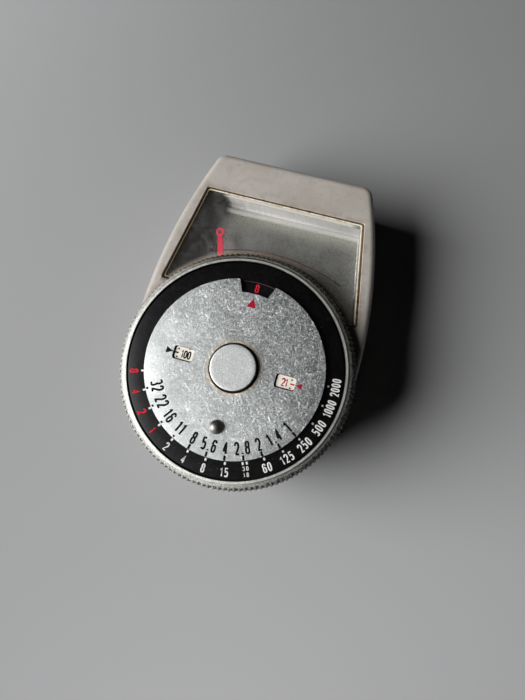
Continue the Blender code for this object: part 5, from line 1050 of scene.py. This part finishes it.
def silver_disc():
    """The f-stop disc, with notch, two windows, the cap's recess and softened edges."""
    profile = [(CENTRE, DISC_FOOT), (DISC_RADIUS, DISC_FOOT)]
    for k in range(DOME_STEPS + 1):
        radius = DISC_RADIUS + (DOME_START - DISC_RADIUS) * k / DOME_STEPS
        profile.append((radius, disc_height(radius)))
    profile += [(DOME_START / 2, DISC_TOP), (CENTRE, DISC_TOP)]
    disc = show("silver_disc", finished(loft(spun(profile, 240)), "silver_disc"), DISC_METAL, DISC,
                "satin_aluminium", "f_stop_disc")
    notch = arc(0, 0, DISC_RADIUS + OVERRUN, 90 - NOTCH_OUTER, 90 + NOTCH_OUTER, 12)
    notch += arc(0, 0, DISC_RADIUS - NOTCH_DEPTH, 90 + NOTCH_INNER, 90 - NOTCH_INNER, 12)
    cut(disc, prism(notch, DISC_FOOT - OVERRUN, DISC_TOP + OVERRUN, "notch"))
    below, above = DISC_FOOT - OVERRUN / 2, DISC_TOP + OVERRUN / 2
    for side in (-1, 1):
        cut(disc, prism(speed_window(side, *[0.0] * 4), below, above, "speed_window"))
    cut(disc, column(CAP_RADIUS + CAP_PLAY, DISC_TOP - CAP_RECESS, above, steps=96))
    cut(disc, column(DISC_BORE, below, above))
    groove_inner, groove_outer = FILM_STEP_INNER - FILM_PLAY, FILM_RADIUS + FILM_PLAY
    groove = [(groove_inner, below), (groove_outer, below),
              (groove_outer, DISC_TOP - SKIN), (groove_inner, DISC_TOP - SKIN)]
    cut(disc, finished(loft(spun(groove, 96), hoop=True), "groove"))
    smooth(disc.data)
    soften(disc, DISC_EDGE)
    weigh_normals(disc)


def dome_stud():
    """The worn steel stud, a smooth dome on a short stem."""
    low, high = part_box("setting_stud")
    centre = ((low[0] + high[0]) / 2, (low[1] + high[1]) / 2)
    base = DISC_TOP + STUD_LIFT
    foot = DISC_TOP - 0.6 * SKIN
    profile = [(CENTRE, foot), (STUD_STEM_RADIUS, foot), (STUD_STEM_RADIUS, base),
               (STUD_RADIUS - STUD_EDGE, base)]
    widest = base + STUD_BAND
    profile += [(max(STUD_RADIUS * cos(turn), CENTRE), widest + (high[2] - widest) * sin(turn))
                for turn in quarter(12)]
    shape = loft(spun(profile, 48, centre))
    show("dome_stud", finished(shape, "dome_stud", 45), STUD_METAL, DISC, "steel", "setting_stud")


def round_cap():
    """The plain cap with a turned edge and a slightly dished top."""
    foot = DISC_TOP - CAP_SINK
    profile = [(CAP_PIN_RADIUS, CAP_PIN_FOOT), (CAP_PIN_RADIUS, DISC_FOOT),
               (CAP_NECK_RADIUS, DISC_FOOT), (CAP_NECK_RADIUS, foot), (CAP_RADIUS, foot)]
    profile += [(CAP_RADIUS - CAP_ROUND * (1 - cos(t)), CAP_TOP - CAP_ROUND * (1 - sin(t)))
                for t in quarter(6)]
    profile += [(CAP_RADIUS * 0.8, CAP_TOP - CAP_DISH * 2 / 3), (CAP_RADIUS * 0.3, CAP_TOP - CAP_DISH)]
    show("round_cap", finished(loft(spun(profile, 128)), "round_cap", 40), CAP_METAL, CASE,
         "satin_aluminium", "center_cap")


# Printed marks: digits are drawn as strokes in a box one high and one wide about x = 0

def bowl(bottom, top, start=0, end=360, half=0.5, steps=16):
    """Part of a tall round-cornered loop between two heights, as in a condensed digit."""
    middle, reach = (bottom + top) / 2, (top - bottom) / 2
    points = []
    for i in range(steps + 1):
        turn = radians(start + (end - start) * i / steps)
        c, s = cos(turn), sin(turn)
        points.append((half * (abs(c) ** 0.75) * (1 if c > 0 else -1),
                       middle + reach * (abs(s) ** 0.8) * (1 if s > 0 else -1)))
    return points


DIGITS = {
    "0": [bowl(0, 1)],
    "1": [[(-0.30, 0.78), (0.10, 1.0), (0.10, 0.0)]],
    "2": [bowl(0.44, 1, 175, -25) + [(-0.48, 0.0), (0.52, 0.0)]],
    "3": [bowl(0.53, 1, 150, -90), bowl(0, 0.53, 90, -150)],
    "4": [[(0.22, 0.0), (0.22, 1.0), (-0.52, 0.27), (0.55, 0.27)]],
    "5": [[(0.46, 1.0), (-0.40, 1.0), (-0.44, 0.52)] + bowl(0, 0.62, 125, -150)],
    "6": [bowl(0, 0.58), bowl(0.20, 1, 180, 25)],
    "7": [[(-0.5, 1.0), (0.5, 1.0), (-0.12, 0.0)]],
    "8": [bowl(0, 0.53), bowl(0.53, 1, half=0.44)],
    "9": [bowl(0.42, 1), bowl(0, 0.80, 0, -155)],
    ".": [[(0.0, -0.02), (0.0, 0.10)]],
}

# Widths of the narrow characters, as shares of a digit's
NARROW = {".": 0.30, "1": 0.62}


def word(text, height, width, gap):
    """Strokes of a row of digits, centred on the origin."""
    widths = [width * NARROW.get(c, 1.0) for c in text]
    x = -(sum(widths) + gap * (len(text) - 1)) / 2
    strokes = []
    for c, w in zip(text, widths):
        centre = x + w / 2
        for stroke in DIGITS[c]:
            strokes.append([(centre + px * width, (py - 0.5) * height) for px, py in stroke])
        x += w + gap
    return strokes


def turned_to(strokes, x, y, up):
    """Strokes moved to a place, with their tops towards a direction in degrees."""
    turn = radians(up - 90)
    c, s = cos(turn), sin(turn)
    return [[(x + c * px - s * py, y + s * px + c * py) for px, py in stroke] for stroke in strokes]


def on_dial(strokes, radius, angle, up):
    """Strokes moved out to a radius at an angle, with their tops towards up."""
    a = radians(angle)
    return turned_to(strokes, radius * cos(a), radius * sin(a), up)


def inward(strokes, radius, angle):
    """Strokes on the dial with their tops towards its centre."""
    return on_dial(strokes, radius, angle, angle + 180)


def bar(radius, angle, length):
    """A short radial stroke, which prints as a dot where it is as long as wide."""
    a = radians(angle)
    return [[((radius + d) * cos(a), (radius + d) * sin(a)) for d in (-length / 2, length / 2)]]


def stepped(stroke, longest=0.3 * MM):
    """A stroke with points added, so that no step is longer than the given length."""
    made = [stroke[0]]
    for start, end in zip(stroke, stroke[1:]):
        a, b = Vector(start), Vector(end)
        count = max(1, ceil((b - a).length / longest))
        made += [tuple(a.lerp(b, (k + 1) / count)) for k in range(count)]
    return made


# Printed faces: a height, or a function that tells it at a radius, and the body and slot
PLATE_FACE = (TIME_Z, RING, "black_lacquer")
FILM_FACE = (SPEED_Z, CASE, "cream_lacquer")
PAN_FACE = (PAN_FLOOR, CASE, "scale_metal")
DISC_FACE = (DISC_TOP, DISC, "satin_aluminium")
DOMED_FACE = (disc_height, DISC, "satin_aluminium")


def print_marks(name, strokes, width, material, face):
    """Printed strokes as low ribbons of ink that stand a hair above the face."""
    height, body, slot = face
    curve = bpy.data.curves.new(name, "CURVE")
    curve.dimensions = "3D"
    curve.bevel_depth = width / 2
    curve.bevel_resolution = 1
    curve.use_fill_caps = True
    for stroke in map(stepped, strokes) if callable(height) else strokes:
        closed = len(stroke) > 3 and (Vector(stroke[0]) - Vector(stroke[-1])).length < width * 0.1
        points = stroke[:-1] if closed else stroke
        spline = curve.splines.new("POLY")
        spline.points.add(len(points) - 1)
        for point, (x, y) in zip(spline.points, points):
            point.co = (x, y, 0, 1)
        spline.use_cyclic_u = closed
    guide = link(name, curve)
    mesh = evaluated(guide)
    bpy.data.objects.remove(guide, do_unlink=True)
    mesh.transform(Matrix.Diagonal((1, 1, 2 * INK_RISE / width, 1)))
    for vertex in mesh.vertices:
        vertex.co.z += height(vertex.co.xy.length) if callable(height) else height
    show(name, mesh, material, body, slot)


def print_shape(name, outlines, material, face):
    """Printed solid shapes as thin plates."""
    z, body, slot = face
    shape = bmesh.new()
    for outline in outlines:
        lower = [shape.verts.new(point) for point in level(outline, z - INK_SINK)]
        upper = [shape.verts.new(point) for point in level(outline, z + INK_RISE)]
        shape.faces.new(upper)
        shape.faces.new(lower[::-1])
        quads(shape, lower, upper)
    show(name, finished(shape, name), material, body, slot)


TIME_START = -163.2
RED_TIMES = ("8", "4", "2", "1")
WHITE_TIMES = ("2", "4", "8", "15", "", "60", "125", "250", "500", "1000", "2000")
DOTTED_TIMES = ("125", "250", "500", "1000", "2000")
F_START = -151.5
F_STOPS = ("32", "22", "16", "11", "8", "5.6", "4", "2.8", "2", "1.4", "1")
DOTTED_STOPS = ("32", "22", "16", "11")
FILM_STEPS = range(-4, 5)


def time_scale():
    """White and red exposure times, their ticks and dots, and the small pair at 30."""
    digits = (1.42 * MM, 0.50 * MM, 0.46 * MM)
    narrow = (1.42 * MM, 0.44 * MM, 0.40 * MM)
    small = (0.64 * MM, 0.30 * MM, 0.40 * MM)
    digit_radius, tick_radius, dot_radius = 18.80 * MM, 17.22 * MM, 17.42 * MM
    tick_length, dot_length = 0.50 * MM, 0.36 * MM
    red, white, little, ticks = [], [], [], []
    for i, text in enumerate(RED_TIMES + WHITE_TIMES):
        angle = TIME_START + STOP_ANGLE * i
        if text in DOTTED_TIMES:
            ticks += bar(dot_radius, angle, dot_length)
        elif text:
            ticks += bar(tick_radius, angle, tick_length)
        else:
            little += inward(word("30", *small), 18.16 * MM, angle)
            little += inward(word("18", *small), 19.28 * MM, angle)
            pair = [angle - 1.25, angle + 1.25]
        if text:
            numbers = red if i < len(RED_TIMES) else white
            numbers += inward(word(text, *(narrow if len(text) > 3 else digits)), digit_radius, angle)
    for angle in pair:
        ticks += bar(tick_radius, angle, tick_length)
    for name, strokes, width, material in (
        ("time_numbers_red", red, 0.34 * MM, RED_INK),
        ("time_numbers_white", white, 0.28 * MM, WHITE_INK),
        ("time_ticks", ticks, 0.38 * MM, WHITE_INK),
        ("time_numbers_small", little, 0.16 * MM, WHITE_INK),
    ):
        print_marks(name, strokes, width, material, PLATE_FACE)


def value_scale():
    """Red exposure values on the black plate, which pass under the disc's notch."""
    strokes = []
    at_notch = 8
    for value in range(6, 20):
        angle = 90 + STOP_ANGLE * (value - at_notch)
        strokes += on_dial(word(str(value), 1.35 * MM, 0.55 * MM, 0.35 * MM), 15.45 * MM, angle, angle)
    print_marks("exposure_values", strokes, 0.26 * MM, RED_INK, PLATE_FACE)
    line = [arc(0, 0, 16.55 * MM, 0, 360, 180)]
    print_marks("plate_line", line, 0.12 * MM, ROSE_INK, PLATE_FACE)


def film_speeds():
    """Film speeds and their marks on the cream disc, black on one side and red on the other."""
    digits = (1.30 * MM, 0.46 * MM, 0.24 * MM)
    narrow = (1.1 * MM, 0.36 * MM, 0.24 * MM)
    mark_radius, dot_radius = 11.10 * MM, 10.85 * MM
    mark_length, dot_length = 0.8 * MM, 0.30 * MM
    black_speeds = [str(round(100 * 2**i)) for i in FILM_STEPS]
    red_speeds = [str(21 + 3 * i) for i in FILM_STEPS]
    for name, speeds, middle, material, digit_radius in (
        ("film_speeds_black", black_speeds, 180, BLACK_INK, 9.25 * MM),
        ("film_speeds_red", red_speeds, 0, DEEP_RED_INK, 9.65 * MM),
    ):
        strokes = []
        for i, text in zip(FILM_STEPS, speeds):
            angle = middle + STOP_ANGLE * i
            up = 90 + STOP_ANGLE * i
            strokes += on_dial(word(text, *(narrow if len(text) > 3 else digits)), digit_radius, angle, up)
            strokes += bar(mark_radius, angle, mark_length)
            strokes += bar(dot_radius, angle + STOP_ANGLE / 3, dot_length)
            strokes += bar(dot_radius, angle - STOP_ANGLE / 3, dot_length)
        print_marks(name, strokes, 0.27 * MM, material, FILM_FACE)


def disc_prints():
    """The f-stop numbers and ticks, the red triangles and the black index on the silver disc."""
    digits = (2.05 * MM, 0.60 * MM, 0.56 * MM)
    digit_radius, tick_radius, dot_radius = 14.45 * MM, 16.20 * MM, 16.35 * MM
    tick_length, dot_length = 0.92 * MM, 0.38 * MM
    numbers, ticks = [], []
    for i, text in enumerate(F_STOPS):
        angle = F_START + STOP_ANGLE * i
        numbers += inward(word(text, *digits), digit_radius, angle)
        if text in DOTTED_STOPS:
            ticks += bar(dot_radius, angle, dot_length)
        else:
            ticks += bar(tick_radius, angle, tick_length)
    print_marks("stop_numbers", numbers, 0.38 * MM, BLACK_INK, DOMED_FACE)
    print_marks("stop_ticks", ticks, 0.44 * MM, BLACK_INK, DOMED_FACE)
    apex_y, base_y, half = 13.30 * MM, 11.60 * MM, 0.86 * MM
    tip_x, back_x, side_half = 11.75 * MM, 12.85 * MM, 0.55 * MM
    red = [[(-half, base_y), (half, base_y), (0, apex_y)],
           [(tip_x, 0), (back_x, -side_half), (back_x, side_half)]]
    print_shape("red_triangles", red, DEEP_RED_INK, DISC_FACE)
    back_x, side_half, stem_half = 13.0 * MM, 0.62 * MM, 0.10 * MM
    black = [[(-tip_x, 0), (-back_x, side_half), (-back_x, -side_half)],
             rectangle(-tip_x - 0.3 * MM, -stem_half, -tip_x + 0.10 * MM, stem_half)]
    print_shape("black_index", black, BLACK_INK, DISC_FACE)


def pan_prints():
    """The faded red arc on the pan, with a zero and a dark patch at its left end."""
    strokes = [arc(0, LEVER_PIVOT_Y, PAN_ARC_RADIUS, 112, 67, 60)]
    print_marks("scale_arc", strokes, 0.20 * MM, FADED_INK, PAN_FACE)
    up = 108
    zero = turned_to(word("0", 0.9 * MM, 0.42 * MM, 0.0), -15.83 * MM, 22.13 * MM, up)
    print_marks("scale_zero", zero, 0.16 * MM, RED_INK, PAN_FACE)
    half_width, half_height = 0.5 * MM, 0.4 * MM
    patch = [rectangle(-half_width, -half_height, half_width, half_height)]
    print_shape("scale_mark", turned_to(patch, -13.47 * MM, 23.19 * MM, up), PURPLE_INK, PAN_FACE)


# Small pieces at the window, the sensor end and the back

def smooth_copy(name, body, slot, edge=0.0):
    """A copy of a CAD node with smooth shading and softened edges, in the node's place."""
    shape = bmesh.new()
    shape.from_mesh(frame["nodes"][name].data)
    bmesh.ops.remove_doubles(shape, verts=shape.verts, dist=CENTRE)
    bmesh.ops.dissolve_limit(
        shape, angle_limit=radians(0.5), verts=shape.verts, edges=shape.edges)
    piece = show(name + "_smooth", finished(shape, name), FINISHES[slot], body, slot, name)
    if edge:
        soften(piece, edge)
    weigh_normals(piece)


def honeycomb():
    """The lens block with a domed lenslet in each cell."""
    low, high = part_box("honeycomb_lens")
    flange_front = low[1] + LENS_FLANGE
    front = high[1] - LENS_SINK
    margin = LENS_MARGIN + LENS_PLAY
    shape = bmesh.new()
    shape.from_mesh(block(low, (high[0], flange_front, high[2])))
    shape.from_mesh(block((low[0] + margin, flange_front - 0.02 * MM, low[2] + margin),
                          (high[0] - margin, front, high[2] - margin)))
    half_width = high[0] - margin
    half_height = (high[2] - low[2]) / 2 - margin
    middle = (high[2] + low[2]) / 2
    row_pitch = LENSLET_PITCH * sqrt(3) / 2
    foot = LENSLET_PITCH / sqrt(3) * 0.97
    rows = int((half_height - foot) / row_pitch)
    for row in range(-rows, rows + 1):
        shift = (row % 2) / 2
        across = int((half_width - LENSLET_PITCH / 2) / LENSLET_PITCH - shift)
        for i in range(-across - (1 if shift else 0), across + 1):
            lenslet(shape, (i + shift) * LENSLET_PITCH, front, middle + row * row_pitch, foot)
    show("honeycomb", finished(shape, "honeycomb", 30), FINISHES["lens_plastic"], CASE,
         "lens_plastic", "honeycomb_lens")


def lenslet(shape, x, y, z, foot):
    """One domed hexagonal lenslet on the front of the lens."""
    rings = []
    for share, rise in ((1.0, -0.05), (1.0, 0.12), (0.86, 0.50), (0.62, 0.80), (0.34, 0.95)):
        ring = []
        for i in range(LENSLET_SIDES):
            angle = 360 / LENSLET_SIDES * i
            hexagon = foot * cos(radians(30)) / cos(radians((angle + 30) % 60 - 30))
            reach = share * (hexagon * share + foot * 0.93 * (1 - share))
            turn = radians(angle)
            ring.append(shape.verts.new(
                (x + reach * sin(turn), y + LENSLET_HEIGHT * rise, z + reach * cos(turn))))
        rings.append(ring)
    tip = shape.verts.new((x, y + LENSLET_HEIGHT, z))
    for first, second in zip(rings, rings[1:]):
        quads(shape, first, second)
    last = rings[-1]
    for corner, following in zip(last, last[1:] + last[:1]):
        shape.faces.new([corner, following, tip])
    shape.faces.new(rings[0])


def small_pieces():
    """Smooth copies of the small CAD pieces that show from outside or through the window."""
    for i in range(1, 5):
        smooth_copy(f"case_screw_{i}", CASE, "steel")
    smooth_copy("zero_screw", ZERO, "brass")
    smooth_copy("dial_hub", RING, "brass")
    smooth_copy("back_cover", CASE, "cover_plastic")
    smooth_copy("window_pane", CASE, "clear_glass")


# Stage

LAMP_AZIMUTH = 202.0
LAMP_ELEVATION = 36.0
LAMP_DISTANCE = 0.70
LAMP_WIDTH = 0.62
LAMP_WATTS = 9.1
BRIGHT_WALL = (-0.52, -0.82, 0.24)
ROOM_LIGHT = 0.003
ROOM_GLOSS = 0.03
WALL_GLOSS = 1.1
BACKDROP = 0.42
ROOM_COLOUR = (0.98, 0.99, 1.0, 1)
CAMERA_PLACE = (15.38 * MM, -4.79 * MM, 119.10 * MM)
CAMERA_RIGHT = (0.9579, 0.2744, -0.0842)
CAMERA_DOWN = (0.2633, -0.9568, -0.1230)
CAMERA_LENS = 27.67
SENSOR_WIDTH = 36.0


def floor_paint():
    """Pale grey paint, graded near the object as painted light and shade, a little lighter towards the far
    left of the object.
    """
    m = Finish("floor_paint", 0.6)
    # Painted light and shade: a slope of tone that fades out away from the object.
    painted_light_slope = m.x * 0.7 - m.y * 0.8 - m.x * m.y * 0.02
    painted_light_slope = painted_light_slope * m.radius.map(50.0, 220.0, 1.0, 0.0, "SMOOTHSTEP")
    cloud = m.noise(0.02, 2.0).map(0.3, 0.7, -1.5, 1.5)
    tone = (painted_light_slope + cloud).map(-130.0, 130.0, 0.0, 1.0, "SMOOTHSTEP")
    m.start(tone, (0.262, 0.264, 0.267), (0.440, 0.443, 0.448))
    m.set(Specular_IOR_Level=0.1)
    return m.done()


def stage():
    """A plain pale floor, one soft lamp from the left like a window, and a dim pale room."""
    shape = bmesh.new()
    bmesh.ops.create_grid(shape, x_segments=1, y_segments=1, size=3.0)
    floor = link("floor", finished(shape, "floor"))
    floor.data.materials.append(floor_paint())
    lamp = bpy.data.lights.new("window_light", "AREA")
    lamp.shape = "DISK"
    lamp.size = LAMP_WIDTH
    lamp.energy = LAMP_WATTS
    around, above = radians(LAMP_AZIMUTH), radians(LAMP_ELEVATION)
    towards = Vector((cos(above) * cos(around), cos(above) * sin(around), sin(above)))
    holder = link("window_light", lamp)
    holder.location = towards * LAMP_DISTANCE
    holder.rotation_euler = towards.to_track_quat("Z", "Y").to_euler()
    dim_room()


def dim_room():
    """A dim room: pale where the camera looks, and for gloss a brighter wall at the near left."""
    world = bpy.data.worlds.new("studio")
    bpy.context.scene.world = world
    world.use_nodes = True
    tree = world.node_tree
    direction = add(tree, "ShaderNodeTexCoord", "Generated", {})
    facing = add(tree, "ShaderNodeVectorMath", "Value", {0: direction, 1: BRIGHT_WALL},
                 operation="DOT_PRODUCT")
    wall = facing.map(0.30, 0.95)
    gloss = (wall * wall).map(0.0, 1.0, ROOM_GLOSS, WALL_GLOSS)
    glossy, camera_ray, through = (
        add(tree, "ShaderNodeLightPath", f"Is {kind} Ray", {})
        for kind in ("Glossy", "Camera", "Transmission"))
    lit = glossy.map(0.0, 1.0, ROOM_LIGHT, gloss)
    strength = lit.towards(BACKDROP, camera_ray.or_more(through))
    background = tree.nodes["Background"]
    feed(tree, strength, background.inputs["Strength"])
    background.inputs["Color"].default_value = ROOM_COLOUR


def camera():
    """The camera that the photograph was taken with, as fitted to the dial and the case."""
    right = Vector(CAMERA_RIGHT).normalized()
    back = right.cross(-Vector(CAMERA_DOWN)).normalized()
    up = back.cross(right)
    lens = bpy.data.cameras.new("photo_camera")
    lens.sensor_width = SENSOR_WIDTH
    lens.lens = CAMERA_LENS
    lens.clip_start = MM
    holder = link("photo_camera", lens)
    turn = Matrix((right, up, back)).transposed().to_4x4()
    holder.matrix_world = Matrix.Translation(CAMERA_PLACE) @ turn
    bpy.context.scene.camera = holder


dress_nodes()
case_shell()
window_glue()
scale_pan()
knurled_rim()
black_plate()
cream_disc()
silver_disc()
window_rims()
dome_stud()
round_cap()
time_scale()
value_scale()
film_speeds()
disc_prints()
pan_prints()
smooth_copy("red_pointer", POINTER, "red_lacquer", edge=0.05 * MM)
honeycomb()
small_pieces()
stage()
camera()
bpy.context.scene.view_settings.view_transform = "Standard"
